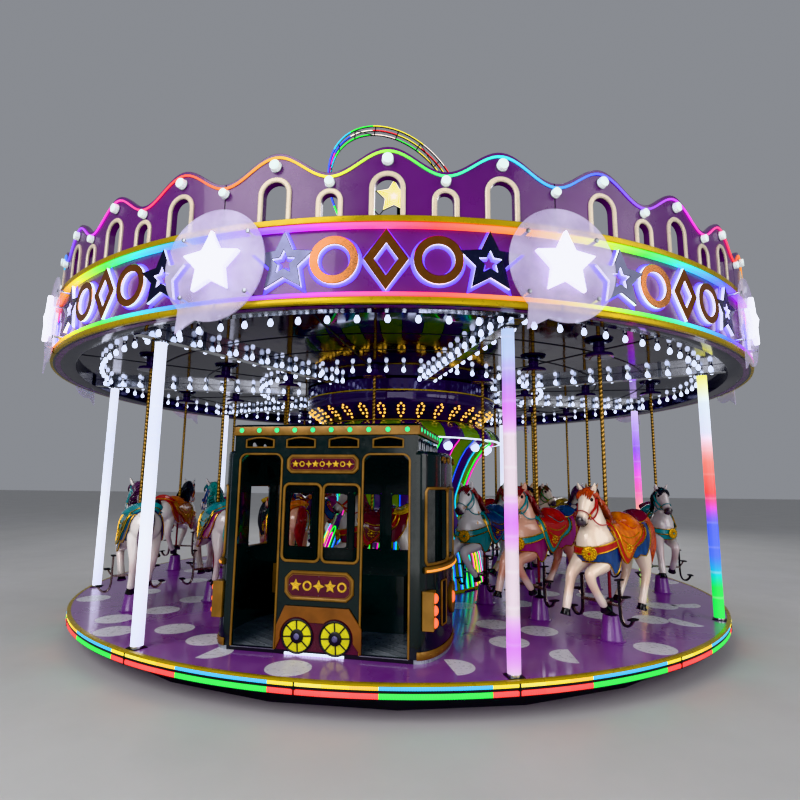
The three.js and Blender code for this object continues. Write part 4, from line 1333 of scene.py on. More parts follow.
WHEELS = (-0.088, 0.226)
WHEEL_HEIGHT = 0.143
WHEEL_RADIUS = 0.133


def cabin_boards():
    """Two name boards with gilded frames, the arch round the wheels and the floor's rim."""
    boards, gilt, arch, rim = [Form().at(on_face()) for _ in range(4)]
    frame_section = [
        (-0.013, 0.001), (-0.012, 0.011), (-0.004, 0.017), (0.005, 0.017), (0.01, 0.012), (0.012, 0.004),
    ]
    for x0, y0, x1, y1, cut, size, count in (
        (-0.225, 1.424, 0.371, 1.556, 0.034, 0.052, 9), (-0.2, 0.426, 0.353, 0.628, 0.05, 0.086, 5),
    ):
        outline = notched(x0, y0, x1, y1, cut)
        boards.plate(outline, 0.0, 0.009)
        gilt.moulding(outline, frame_section)
        inset = notched(x0 + 0.018, y0 + 0.018, x1 - 0.018, y1 - 0.018, cut * 0.8)
        gilt.moulding(inset, [(-0.002, 0.008), (-0.002, 0.0105), (0.002, 0.0105), (0.002, 0.008)])
        x, y = (x0 + x1) / 2, y0 + (y1 - y0) / 2
        plaque_ornament(gilt, x, y, size, count)
        for spot in ((x0 + 0.03, y), (x1 - 0.03, y), (x, y0 + 0.028), (x, y1 - 0.028)):
            gilt.ball((*spot, 0.009), 0.0035, 1, 8, 4, (1, 1, 0.6))
    skirt = [(-0.262, 0.034), (0.43, 0.034), (0.43, 0.22), (0.325, 0.35), (-0.195, 0.35), (-0.262, 0.21)]
    boards.plate(skirt, 0, 0.006)
    boards.piece("trolley_boards", ROTOR, [BURGUNDY], bevel=0.0015, slot="burgundy_board")
    gilt.piece("trolley_board_gilding", ROTOR, [OLD_GOLD, STEEL, LEAF_GOLD], slot="gold_trim")
    outline = [
        (-0.268, 0.034), (-0.268, 0.215), (-0.2, 0.368), (0.33, 0.368), (0.436, 0.225), (0.436, 0.034),
    ]
    for middle, first, last in ((WHEELS[1], -10, 132), (WHEELS[0], 48, 190)):
        outline += arc(middle, WHEEL_HEIGHT, WHEEL_RADIUS + 0.012, first, last, 14)
    arch.plate(outline, 0.004, 0.02)
    arch.piece("trolley_wheel_arch", ROTOR, [BROWN], bevel=0.003, slot="gold_trim")
    rim.block((CABIN_LEFT + 0.01, 0.001, 0.0), (CABIN_RIGHT - 0.01, 0.031, 0.003))
    rim.piece("trolley_floor_rim", ROTOR, [BLACK])


def cabin_wheels():
    """Round yellow wheels with black spokes, rims and hubs."""
    wheels = Form()
    rim = [(0.115, 0.007), (0.118, 0.013), (0.125, 0.016), (0.132, 0.013), (WHEEL_RADIUS, 0.0)]
    for x in WHEELS:
        wheels.at(on_face(x, WHEEL_HEIGHT, 0.006))
        wheels.turned([(0, 0.008), (0.118, 0.008), (0.12, 0.003)], 44, 1)
        wheels.turned(rim, 52)
        wheels.turned([(0.0, 0.019), (0.046, 0.019), (0.053, 0.015), (0.054, 0.007)], 32)
        wheels.turned([(0.0, 0.027), (0.017, 0.026), (0.023, 0.023), (0.024, 0.018)], 20, 2)
        for k in range(8):
            a = math.radians(45 * k + 4)
            spoke = [(r * math.cos(a), r * math.sin(a), 0.0095) for r in (0.03, 0.12)]
            wheels.tube(spoke, 0.0058, 6)
    wheels.piece("trolley_wheels", ROTOR, [BLACK, YELLOW, HUB_GREY])


def fascia_lamp(lamps, cases, spot):
    """A domed lamp in a thin ring."""
    rim = [(-0.003, -0.002), (-0.003, 0.004), (0.003, 0.004), (0.003, -0.002)]
    lamps.at(spot).ball((0, 0, 0), 0.021, 0, 14, 8, (1, 1, 0.55))
    cases.at(spot).moulding(circle(0.023, 20), rim)


def cabin_lamps():
    """Lamps along the fascia, lamp boxes, one headlamp at each end, and light strips."""
    lamps, cases = Form(), Form()
    for k in range(10):
        fascia_lamp(lamps, cases, on_face(-0.653 + 0.1596 * k, LAMP_HEIGHT, 0.0195))
    for side in (1, -1):
        for k in range(8):
            spot = on_end(side) @ Matrix.Translation((-0.525 + 0.15 * k, LAMP_HEIGHT, 0.0335))
            fascia_lamp(lamps, cases, spot)
        strip = [(0.666, 0.027), (0.666, 0.031), (0.674, 0.035), (0.682, 0.031), (0.682, 0.027)]
        bow_band(lamps, strip, 69, 2, side, 40)
        edge = CABIN_RIGHT if side > 0 else CABIN_LEFT
        for way in (-1, 1):
            face = CABIN_MIDDLE + way * (CABIN_HALF - 0.052)
            x = edge + side * 0.1
            cases.at(CABIN)
            cases.block((x - 0.045, face - 0.052, DECK + 0.24), (x + 0.045, face + 0.052, DECK + 0.525))
            for z in (0.292, 0.382, 0.472):
                lamps.ball((x + side * 0.045, face, DECK + z), 0.038, 1, 16, 10, (0.75, 1, 1))
            cases.at(on_bow(way * 31, 0.405, 0.0, side))
            cases.moulding(rounded(-0.05, -0.17, 0.05, 0.17, 0.012, 3), thin(0.6))
            for k in range(7):
                bar = -0.039 + 0.013 * k
                cases.block((bar - 0.002, -0.16, -0.004), (bar + 0.002, 0.16, 0.004), 1)
        nose = on_bow(0, 0.392, 0.0, side)
        cases.at(nose).turned([
            (0.122, -0.01), (0.128, 0.006), (0.131, 0.014), (0.126, 0.019), (0.112, 0.018), (0.06, 0.01),
            (0.0, 0.008)], 40)
        lamps.at(nose).turned([(0.05, 0.006), (0.046, 0.018), (0.03, 0.026), (0, 0.029)], 28, 1)
    lamps.at(on_face())
    lamps.block((-0.191, 0.002, 0.002), (0.3, 0.02, 0.014), 3)
    lamps.piece("trolley_lamps", ROTOR, [GREEN_LAMP, ORANGE_LAMP, AMBER_LED, WHITE_LED], slot="lamp_glass")
    cases.piece("trolley_lamp_cases", ROTOR, [OLD_GOLD, BLACK], bevel=0.002, slot="gold_trim")


# Horses, each facing +X on its pole, heights counted from the deck

TORSO = [
    (-0.54, 0.905, 0.035, 0.03), (-0.515, 0.9, 0.105, 0.088), (-0.44, 0.89, 0.155, 0.143),
    (-0.31, 0.872, 0.168, 0.155), (-0.14, 0.852, 0.165, 0.15), (0.03, 0.845, 0.172, 0.15),
    (0.15, 0.845, 0.185, 0.145), (0.235, 0.84, 0.185, 0.13), (0.3, 0.835, 0.16, 0.104),
    (0.346, 0.835, 0.115, 0.072), (0.368, 0.835, 0.04, 0.032),
]
NECK = [
    (0.11, 0.885, 0.185, 0.118), (0.165, 0.97, 0.145, 0.1), (0.188, 1.06, 0.11, 0.08),
    (0.2, 1.14, 0.095, 0.068), (0.21, 1.205, 0.082, 0.058), (0.22, 1.245, 0.05, 0.042),
]
HEAD = [
    (0.205, 1.262, 0.035, 0.035), (0.235, 1.238, 0.082, 0.062), (0.27, 1.192, 0.096, 0.07),
    (0.308, 1.142, 0.083, 0.06), (0.345, 1.096, 0.064, 0.048), (0.38, 1.058, 0.057, 0.046),
    (0.41, 1.024, 0.052, 0.048), (0.429, 1.002, 0.022, 0.026),
]
# Legs as x, y, height and radius: stretched and folded forelegs, then the hind legs
LEGS = [
    [
        (0.22, -0.06, 0.78, 0.092), (0.265, -0.078, 0.7, 0.086), (0.32, -0.087, 0.65, 0.07),
        (0.375, -0.09, 0.602, 0.056), (0.402, -0.09, 0.56, 0.049), (0.425, -0.09, 0.48, 0.04),
        (0.46, -0.088, 0.37, 0.04), (0.484, -0.086, 0.295, 0.034),
    ], [
        (0.17, 0.06, 0.78, 0.092), (0.15, 0.074, 0.71, 0.086), (0.185, 0.084, 0.665, 0.072),
        (0.265, 0.09, 0.637, 0.06), (0.335, 0.092, 0.62, 0.054), (0.378, 0.092, 0.594, 0.048),
        (0.362, 0.091, 0.53, 0.041), (0.305, 0.09, 0.445, 0.037), (0.235, 0.088, 0.36, 0.038),
        (0.2, 0.086, 0.322, 0.032),
    ], [
        (-0.33, 0.06, 0.86, 0.1), (-0.365, 0.074, 0.77, 0.09), (-0.4, 0.085, 0.67, 0.072),
        (-0.42, 0.09, 0.575, 0.05), (-0.412, 0.09, 0.5, 0.04), (-0.378, 0.088, 0.39, 0.034),
        (-0.35, 0.086, 0.31, 0.037), (-0.34, 0.086, 0.275, 0.033),
    ], [
        (-0.33, -0.06, 0.86, 0.1), (-0.355, -0.074, 0.77, 0.09), (-0.385, -0.085, 0.68, 0.07),
        (-0.395, -0.09, 0.58, 0.048), (-0.368, -0.09, 0.51, 0.039), (-0.305, -0.088, 0.41, 0.034),
        (-0.25, -0.086, 0.345, 0.036), (-0.228, -0.086, 0.32, 0.032),
    ],
]
POLE_TOP = 2.7195
REST_AHEAD = 0.13
COAT, MANE, HOOF, SADDLE, CLOTH, SKIRT, STRAP, GILT, EYE, POLE, ROD, RAIL, PAD = range(13)


def oval(x, z, up, tall, wide, sides):
    """Points round an oval that stands across the horse; tall is measured along up."""
    turns = [2 * math.pi * k / sides for k in range(sides)]
    return [Vector((x, 0, z)) + up * (tall * math.cos(a)) + Vector((0, wide * math.sin(a), 0)) for a in turns]


def ovals(form, stations):
    """A body through upright ovals: x, z, half height and half width."""
    line = through(stations, 4)
    rings = []
    for i, (x, z, tall, wide) in enumerate(line):
        before, after = line[max(0, i - 1)], line[min(len(line) - 1, i + 1)]
        along = Vector((after[0] - before[0], 0, after[1] - before[1])).normalized()
        rings.append(oval(x, z, Vector((-along.z, 0, along.x)), tall, wide, 20))
    form.skin(rings, capped=True)


def limb(form, stations, paint=0, sides=12, steps=4, flat=1.0):
    line = through(stations, steps)
    form.tube([p[:3] for p in line], [p[3] for p in line], sides, paint, flat=flat)


def torso_at(x):
    line = through(TORSO, 6)
    for one, two in zip(line, line[1:]):
        if one[0] <= x <= two[0]:
            t = (x - one[0]) / (two[0] - one[0])
            return [a + (b - a) * t for a, b in zip(one, two)]


def on_back(x, turn, lift):
    """Point over the torso; turn is 0 on top, and past 80 it hangs almost straight down."""
    _, z, tall, wide = torso_at(x)
    hang = max(0.0, abs(turn) - 80)
    side = -1 if turn < 0 else 1
    a = math.radians(side * min(80, abs(turn)))
    y = (wide + lift) * math.sin(a) + side * hang * 0.0003
    return Vector((x, y, z + (tall + lift) * math.cos(a) - hang * 0.0026))


def belt(form, path, tall, thick, paint):
    """A flat band standing on edge along a path, with its face to the right of the way."""
    rings = []
    for point, before, after in neighbours([Vector(p) for p in path], False):
        along = (after - before).normalized()
        out = along.cross(Vector((0, 0, 1))).normalized()
        up = out.cross(along) * (tall / 2)
        face = point + out * thick
        rings.append([point - up, face - up * 0.9, face + up * 0.9, point + up])
    form.skin(rings, paint, capped=True)


def horse_body():
    """Torso, neck, head and legs grown together into one smooth skin."""
    form = Form()
    for stations in (TORSO, NECK, HEAD):
        ovals(form, stations)
    for side in (-1, 1):
        form.ball((0.245, side * 0.042, 1.138), 0.068, 0, 14, 8, (1.0, 0.48, 1.0))
        form.ball((0.255, side * 0.062, 0.82), 0.085, 0, 14, 8, (0.9, 0.75, 1.15))
        form.ball((0.296, side * 0.05, 1.224), 0.028, 0, 10, 6, (1.2, 0.7, 0.9))
        form.ball((0.42, side * 0.026, 1.048), 0.024, 0, 10, 6, (0.9, 0.8, 0.9))
        ear = [(0.236, 0.038, 1.268, 0.034), (0.252, 0.062, 1.315, 0.032), (0.272, 0.082, 1.37, 0.006)]
        limb(form, mirrored(side, ear), sides=8, flat=0.6)
    for leg in LEGS:
        limb(form, leg)
    rough = add_object("horse_rough", form.mesh_data("horse_rough", [BLACK]))
    grown = rough.modifiers.new("grown", "REMESH")
    grown.mode = "VOXEL"
    grown.voxel_size = 0.009
    eased = rough.modifiers.new("eased", "SMOOTH")
    eased.factor = 0.5
    eased.iterations = 5
    fewer = rough.modifiers.new("fewer", "DECIMATE")
    fewer.ratio = 0.125
    bpy.context.view_layer.update()
    seen = rough.evaluated_get(bpy.context.evaluated_depsgraph_get())
    data = bpy.data.meshes.new_from_object(seen)
    bpy.data.objects.remove(rough)
    return data


def turn_head(form):
    """Turns the head a little outwards on the neck."""
    for corner in form.mesh.verts:
        x, y, z = corner.co
        if z < 1.42 and x > 0.03:
            share = min(1.0, max(0.0, (z + 0.9 * (x - 0.2) - 1.06) / 0.1))
            a = math.radians(15) * share
            corner.co.x = 0.27 + (x - 0.27) * math.cos(a) - y * math.sin(a)
            corner.co.y = (x - 0.27) * math.sin(a) + y * math.cos(a)


def horse_hair(form):
    """Mane falling on the inner side of the neck, flat forelock and a long swinging tail."""
    crest = through([
        (0.25, 0, 1.3, 0.02), (0.195, 0, 1.3, 0.028), (0.142, 0, 1.248, 0.032), (0.098, 0, 1.17, 0.033),
        (0.062, 0, 1.09, 0.032), (0.0, 0, 1.035, 0.018)], 5)
    form.tube([p[:3] for p in crest], [p[3] for p in crest], 8, MANE)
    rng = random.Random(7)
    for i in range(14):
        x, _, z, _ = crest[1 + int(i * (len(crest) - 4) / 13)]
        for side in (-1, 1):
            drop = (0.15 if side < 0 else 0.065) + 0.04 * rng.random()
            sway = 0.03 * rng.random()
            reach = 0.046 + 0.0032 * i
            lock = [
                (x, 0.012, z + 0.012, 0.024), (x + 0.002, reach, z - drop * 0.25, 0.021),
                (x + 0.006 - sway, reach + drop * 0.18, z - drop * 0.62, 0.016),
                (x + 0.014 - sway, reach + drop * 0.2, z - drop, 0.004)]
            limb(form, mirrored(side, lock), MANE, 6, 2, 0.6)
    for y in (-0.056, -0.038, -0.019, 0.0, 0.019, 0.038, 0.056):
        fall = abs(y) * 0.35
        lock = [
            (0.225, y * 0.8, 1.3 - fall, 0.016), (0.268, y, 1.316 - fall * 1.3, 0.017),
            (0.312, y * 1.05, 1.292 - fall * 1.6, 0.015), (0.346, y, 1.24 - fall, 0.004)]
        limb(form, lock, MANE, 6, 3, 0.6)
    for y, z in [*circle(0.026, 8), (0, 0)]:
        lock = [
            (-0.5, y * 0.5, 0.985 + z * 0.5, 0.02), (-0.545, y * 0.8 + 0.01, 1.012 + z, 0.027),
            (-0.582 + z * 0.4, y * 1.2 + 0.02, 0.965 + z, 0.03),
            (-0.588 + z * 0.5, y * 1.5 + 0.03, 0.87, 0.03),
            (-0.572 + z * 0.5, y * 1.6 + 0.04, 0.78, 0.027),
            (-0.566 + z * 0.8, y * 1.3 + 0.04, 0.7, 0.019),
            (-0.582, y * 0.6 + 0.03, 0.6, 0.004)]
        limb(form, lock, MANE, 6, 3)


def hooves(form):
    for leg in LEGS:
        one, two = Vector(leg[-2][:3]), Vector(leg[-1][:3])
        along = (two - one).normalized()
        along = (along + Vector((0.15, 0, -0.5))).normalized()
        start = two - along * 0.012
        path = [start + along * reach for reach in (0, 0.01, 0.018, 0.056, 0.06)]
        form.tube(path, [0.03, 0.036, 0.034, 0.045, 0.042], 14, HOOF)


def saddle_sheet(form, rows, inner, paint):
    """A curved shell on the back; rows are x, lift and how far it reaches down each side."""
    rings = []
    for x, lift, reach in through(rows, 2):
        turns = [-reach + 2 * reach * k / 12 for k in range(13)]
        ring = [on_back(x, t, lift) for t in turns]
        ring += [on_back(x, t, inner) for t in reversed(turns)]
        rings.append(ring)
    form.skin(rings, paint, capped=True)


def sheet_edge(form, rows, lift, radius, paint):
    """A cord round the edge of a saddle sheet."""
    line = through(rows, 2)
    path = [on_back(x, reach, lift) for x, _, reach in line]
    path += [on_back(x, -reach, lift) for x, _, reach in reversed(line)]
    form.tube(path, radius, 4, paint, looped=True)


def skirting(form, stations, paint):
    """Cloth hanging from a band: x, y, height of its top, how far it drops and how far it tucks in."""
    rings = []
    for x, y, z, drop, tuck in stations:
        out = Vector((x - 0.1, y, 0)).normalized()
        top = Vector((x, y, z))
        fall = Vector((0, 0, drop))
        rings.append([
            top - out * 0.006, top + out * 0.003, top + out * (0.006 - tuck * 0.5) - fall * 0.55,
            top - out * tuck - fall, top - out * (tuck + 0.008) - fall,
        ])
    form.skin(rings, paint, capped=True)
    form.tube([ring[3] for ring in rings], 0.0055, 4, GILT)


def rosette(form, spot, heading):
    """Gilt flower of two rings of petals about a button."""
    base = Matrix.Translation(spot) @ spin(heading) @ spin(90, "Y")
    form.at(base).turned([(0.06, -0.006), (0.062, 0.004), (0.056, 0.01), (0.0, 0.012)], 28, GILT)
    for k in range(13):
        form.at(base @ spin(360 * k / 13))
        form.ball((0.046, 0, 0.011), 0.019, GILT, 6, 4, (1.1, 0.52, 0.5))
        form.ball((0.024, 0.004, 0.016), 0.012, GILT, 5, 3, (1.1, 0.46, 0.6))
    form.at(base).ball((0, 0, 0.016), 0.013, STRAP, 10, 6, (1, 1, 0.7))
    form.at(LEVEL)


# Sheets on the back as x, lift and how far each reaches down, in degrees
SKIRT_ROWS = [
    (-0.43, 0.008, 50), (-0.415, 0.01, 92), (-0.36, 0.012, 128), (-0.29, 0.012, 150), (-0.22, 0.012, 141),
    (-0.15, 0.012, 150), (-0.08, 0.012, 138), (0.0, 0.012, 118), (0.08, 0.01, 92), (0.13, 0.008, 60),
]
BORDER_ROWS = [
    (-0.34, 0.016, 54), (-0.32, 0.02, 80), (-0.26, 0.024, 100), (-0.16, 0.026, 112), (-0.09, 0.027, 136),
    (-0.03, 0.027, 153), (0.01, 0.027, 159), (0.05, 0.026, 142), (0.085, 0.025, 108), (0.11, 0.022, 78),
    (0.125, 0.016, 48),
]
CLOTH_ROWS = [(x * 0.84 - 0.022, lift + 0.005, reach - 17) for x, lift, reach in BORDER_ROWS]
POMMEL_ROWS = [
    (-0.29, 0.03, 30), (-0.26, 0.05, 44), (-0.22, 0.074, 54), (-0.165, 0.088, 56), (-0.125, 0.084, 48),
    (-0.095, 0.062, 36), (-0.08, 0.036, 22),
]
SEAT_ROWS = [
    (-0.445, 0.05, 24), (-0.43, 0.08, 34), (-0.395, 0.072, 42), (-0.34, 0.047, 46), (-0.28, 0.04, 46),
    (-0.23, 0.05, 38), (-0.2, 0.052, 24),
]
# Each sheet's rows, inner lift and paint, then its edge's lift, radius and paint
SHEETS = [
    (SKIRT_ROWS, 0.0, SKIRT, 0.012, 0.0055, GILT), (BORDER_ROWS, 0.01, STRAP, 0.025, 0.0065, GILT),
    (CLOTH_ROWS, 0.014, CLOTH, 0.03, 0.0045, GILT), (POMMEL_ROWS, 0.012, CLOTH, 0.03, 0.006, STRAP),
    (SEAT_ROWS, 0.01, SADDLE, 0.038, 0.005, GILT),
]
# The collar from the left shoulder to the chest: x, y, height, drop and tuck of its skirting
COLLAR = [
    (-0.03, 0.15, 0.895, 0.07, 0.0), (0.02, 0.156, 0.875, 0.12, 0.0), (0.065, 0.16, 0.858, 0.205, 0.0),
    (0.105, 0.163, 0.845, 0.232, 0.0), (0.145, 0.162, 0.832, 0.222, 0.0), (0.19, 0.157, 0.82, 0.13, 0.004),
    (0.235, 0.147, 0.808, 0.104, 0.01), (0.283, 0.128, 0.798, 0.092, 0.018),
    (0.326, 0.098, 0.79, 0.084, 0.026), (0.358, 0.055, 0.784, 0.078, 0.032),
    (0.37, 0.0, 0.782, 0.076, 0.034),
]


def saddlery(form):
    """Skirt, cloth and saddle on the back, with gilt flowers and swags."""
    for rows, inner, paint, *_ in SHEETS:
        saddle_sheet(form, rows, inner, paint)
    for rows, _, _, lift, radius, paint in SHEETS:
        sheet_edge(form, rows, lift, radius, paint)
    for side in (-1, 1):
        spot = on_back(-0.04, side * 112, 0.033)
        form.ball(spot, 0.02, GILT, 10, 5, (1, 0.4, 1))
        for x, z in circle(0.034, 8):
            form.ball(spot + Vector((x, 0.002 * side, z)), 0.009, GILT, 5, 3)
        for share in (0.3, 0.75):
            swag = []
            for k in range(11):
                turn = 62 + 26 * share + 32 * share * math.sin(math.pi * k / 10)
                swag.append(on_back(-0.22 + 0.25 * k / 10, side * turn, 0.035))
            form.tube(swag, 0.0045, 5, GILT)


def collar_and_girth(form):
    """Collar with its hanging skirting and a rosette, and the girth."""
    half = through(COLLAR, 2)
    whole = half + mirrored(-1, reversed(half[:-1]))
    skirting(form, [(x, y, z - 0.018, *rest) for x, y, z, *rest in whole], SKIRT)
    collar = [(x, y, z) for x, y, z, *_ in reversed(whole)]
    belt(form, collar, 0.062, 0.01, STRAP)
    for lift in (-0.03, 0.03):
        form.tube([(x + (x - 0.1) * 0.03, y * 1.05, z + lift) for x, y, z in collar], 0.006, 5, GILT)
    rosette(form, (0.362, 0.078, 0.765), 34)
    _, z, tall, wide = torso_at(0.06)
    girth = oval(0.06, z, Vector((0, 0, 1)), tall + 0.004, wide + 0.004, 24)
    form.tube(girth, 0.016, 6, STRAP, looped=True, flat=0.4)


def bridle(form):
    """Nose and brow bands, straps, reins, eyes, nostrils and mouth."""
    for x, z, tall, wide, lean in ((0.352, 1.088, 0.066, 0.053, 54), (0.242, 1.236, 0.09, 0.07, 44)):
        a = math.radians(lean)
        band = oval(x, z, Vector((math.sin(a), 0, math.cos(a))), tall, wide, 18)
        form.tube(band, 0.009, 6, STRAP, looped=True, flat=0.5)
    cheek = [(0.232, 0.074, 1.22, 0.012), (0.27, 0.078, 1.15, 0.012), (0.335, 0.056, 1.088, 0.01)]
    jaw = [
        (0.232, 0.074, 1.22, 0.007), (0.222, 0.08, 1.13, 0.007), (0.262, 0.066, 1.066, 0.007),
        (0.315, 0.05, 1.05, 0.007),
    ]
    rein = [
        (0.342, 0.058, 1.08, 0.0055), (0.29, 0.088, 1.03, 0.0055), (0.21, 0.108, 1.0, 0.0055),
        (0.11, 0.12, 1.02, 0.0055), (0.02, 0.04, 1.055, 0.0055),
    ]
    mouth = [(0.434, 0.012, 0.99), (0.412, 0.036, 0.996), (0.376, 0.046, 1.016)]
    for side in (-1, 1):
        limb(form, mirrored(side, cheek), STRAP, 6, 3)
        limb(form, mirrored(side, jaw), STRAP, 6, 3)
        form.ball((0.34, side * 0.057, 1.082), 0.014, GILT, 8, 5, (1, 0.5, 1))
        limb(form, mirrored(side, rein), STRAP, 5, 3)
        form.ball((0.303, side * 0.059, 1.218), 0.0215, EYE, 12, 7, (1.1, 0.6, 0.85))
        form.ball((0.443, side * 0.026, 1.046), 0.01, EYE, 8, 5, (1, 0.7, 0.8))
        form.tube(mirrored(side, mouth), 0.0035, 5, EYE)


def pole_and_rest(form):
    """Twisted pole above, painted rod and boot below, and the foot rest before the rod."""
    turns = 110
    path = [(0, 0, 0.995 + (POLE_TOP - 0.995) * i / turns) for i in range(turns + 1)]
    form.tube(path, [0.0186 if i % 2 else 0.0168 for i in range(turns + 1)], 8, POLE, roll=0.4)
    form.tube([(0, 0, 0.33), (0, 0, 0.78)], 0.0135, 12, ROD)
    form.tube([(0, 0, -0.0395), (0, 0, 0.34)], 0.0175, 12, PAD)
    form.turned([(0.017, 0.318), (0.03, 0.32), (0.03, 0.352), (0.0135, 0.356)], 16, PAD)
    form.block((0.01, -0.016, 0.329), (REST_AHEAD + 0.01, 0.016, 0.345), RAIL)
    ahead = Matrix.Translation((REST_AHEAD, 0, 0))
    form.at(ahead).block((-0.02, -0.192, 0.327), (0.02, 0.192, 0.347), RAIL)
    hook = [
        (0.191, 0.545), (0.191, 0.44), (0.191, 0.31), (0.198, 0.232), (0.222, 0.19), (0.258, 0.184),
        (0.29, 0.208), (0.31, 0.244),
    ]
    stay = [(0, 0.192, 0.345), (0, 0.218, 0.38), (0, 0.235, 0.41)]
    for side in (-1, 1):
        for x, paint in ((-0.0125, RAIL), (0.0125, PAD)):
            limb(form, mirrored(side, [(x, y, z, 0.009) for y, z in hook]), paint, 6, 3)
        form.tube(mirrored(side, stay), 0.009, 6, RAIL)
        for y, z, reach in ((0.191, 0.5485, 0.022), (0.24, 0.415, 0.03), (0.306, 0.2485, 0.028)):
            form.at(Matrix.Translation((REST_AHEAD, side * y, z)))
            form.plate(rounded(-0.052, -reach, 0.052, reach, 0.018, 3), -0.007, 0.0022, PAD)
            for k in range(5):
                x = -0.036 + 0.018 * k
                form.block((x - 0.004, -reach * 0.8, 0.002), (x + 0.004, reach * 0.8, 0.0032), PAD)
        form.at(ahead)
    form.at(LEVEL)


def coat(name, colour, blush, spots=None):
    """Gloss painted hide: airbrushed blush on joints and belly, dark grey muzzle."""
    paint = Paint(name, colour, 0.14, 0.0, {"Coat Weight": 0.9, "Coat Roughness": 0.04})
    x, z = paint.axis("X"), paint.axis("Z")
    patches = paint.noise(5.0, 3.0).within(0.3, 0.75)
    low = 1 - z.within(0.5, 0.78)
    hide = paint.mix((low + patches) * 0.32, tint(colour), tint(blush))
    if spots:
        marks = paint.noise(7.5, 1.0).within(0.6, 0.63) * (1 - z.within(1.04, 1.1))
        hide = paint.mix(marks, hide, tint(spots))
    muzzle = (x - z * 0.9).within(-0.575, -0.525) * z.within(0.965, 1.0)
    hide = paint.mix(muzzle, hide, tint("#4a4146"))
    socks = 1 - z.within(0.4, 0.46)
    hide = paint.mix(socks * 0.5, hide, tint("#e9e4e0"))
    paint.set("Base Color", hide)
    paint.set("Roughness", patches * 0.1 + 0.12)
    return paint.bump(paint.noise(28, 3.0), 0.0008)


def hair(name, colour):
    """Carved and painted locks: streaks of darker and lighter colour."""
    paint = Paint(name, colour, 0.26, 0.0, {"Coat Weight": 0.4})
    streaks = paint.noise(16, 5.0, paint.stretched(1.0, 4.0, 1.6)).within(0.3, 0.7)
    mane = (1 - paint.axis("Z").within(1.08, 1.24)) * paint.axis("X").within(-0.35, -0.15)
    locks = paint.mix(streaks, shade(tint(colour), 0.45), shade(tint(colour), 1.25))
    paint.set("Base Color", paint.mix(mane * 0.75, locks, shade(tint(colour), 0.18)))
    return paint.bump(paint.noise(60, 3.0, paint.stretched(0.6, 3.0, 1.2)), 0.003)


def tack_paint(name, colour, second=None):
    """Gloss tack colour, with a second tone darkened as painted shade in the creases of its cloth."""
    paint = Paint(name, colour, 0.22, 0.0, {"Coat Weight": 0.5})
    folds_and_shade = paint.noise(22, 3.0, paint.stretched(1.0, 1.0, 0.35)).within(0.35, 0.65)
    # Painted shade: the darkened second tone fills the low creases that the bump cuts
    paint.set("Base Color", paint.mix(folds_and_shade, shade(tint(second or colour), 0.8), tint(colour)))
    return paint.bump(folds_and_shade, 0.0016)


def twisted(name, colour):
    """Barley-twist brass: lighter crests, and painted shade in the grooves that twist up the pole."""
    paint = Paint(name, colour, 0.2, 0.9)
    twist_and_groove_shade = (paint.axis("Z") * 24 + paint.axis("X") * 13).apply("PINGPONG", 0.5).within(0.08, 0.34)
    stain = paint.noise(14, 3.0).within(0.35, 0.75)
    crest = paint.mix(stain * 0.4, tint(colour), shade(tint(colour), 0.7))
    # Painted shade: the twist's grooves are coloured much darker than the crests
    paint.set("Base Color", paint.mix(twist_and_groove_shade, shade(tint(colour), 0.22), crest))
    paint.set("Roughness", 0.42 - twist_and_groove_shade * 0.2)
    return paint.bump(twist_and_groove_shade, 0.002)


# Hide and blush, and the spots of one
COAT_CODES = {
    "cream": ("#f1e2d0", "#dcae95"), "white": ("#f0edea", "#d9b9b2"), "pink": ("#eab59c", "#c77a68"),
    "grey": ("#cfc9ca", "#c79a94"), "spotted": ("#efeceb", "#c9cfdc", "#d08a2e"),
    "tan": ("#c99e74", "#8f6240"),
}
HAIR_CODES = {
    "orange": "#c0461a", "black": "#24252b", "dark_red": "#8c2a2a", "purple": "#5f3f5e", "teal": "#2f8f8c",
    "brown": "#5b3826",
}
# Colour, and the second tone of some, which tack_paint darkens into painted shade in the creases
TACK_CODES = {
    "orange": ("#e27a10", "#d4560c"), "red": ("#b5221c",), "blue": ("#1a4484", "#123466"),
    "teal": ("#1f8f98",), "magenta": ("#9a2c72",), "yellow": ("#d9b62a", "#b58a1c"),
    "burgundy": ("#6d1428",), "green": ("#2c7a3a",),
}
COATS = {name: coat(f"coat_{name}", *codes) for name, codes in COAT_CODES.items()}
HAIRS = {name: hair(f"hair_{name}", code) for name, code in HAIR_CODES.items()}
TACKS = {name: tack_paint(f"tack_{name}", *codes) for name, codes in TACK_CODES.items()}
GILDING = Paint("tack_gilding", "#d0a02c", 0.25, 0.8).worn(0.2, 20)
POLE_BRASS = twisted("pole_twisted_brass", "#c39a58")
EYE_BLACK = Paint("eye_black_gloss", "#0c0b0d", 0.08).worn(0.2, 20)
HOOF_BLACK = Paint("hoof_black_gloss", "#151416", 0.16).worn(0.3, 12)
ROD_RED = Paint("rod_dark_red", "#7a1220", 0.25, 0.2).worn(0.2, 10)
RAIL_GREY = brushed("rest_rail_grey", "#9a8a88", 0.25, 0.8)

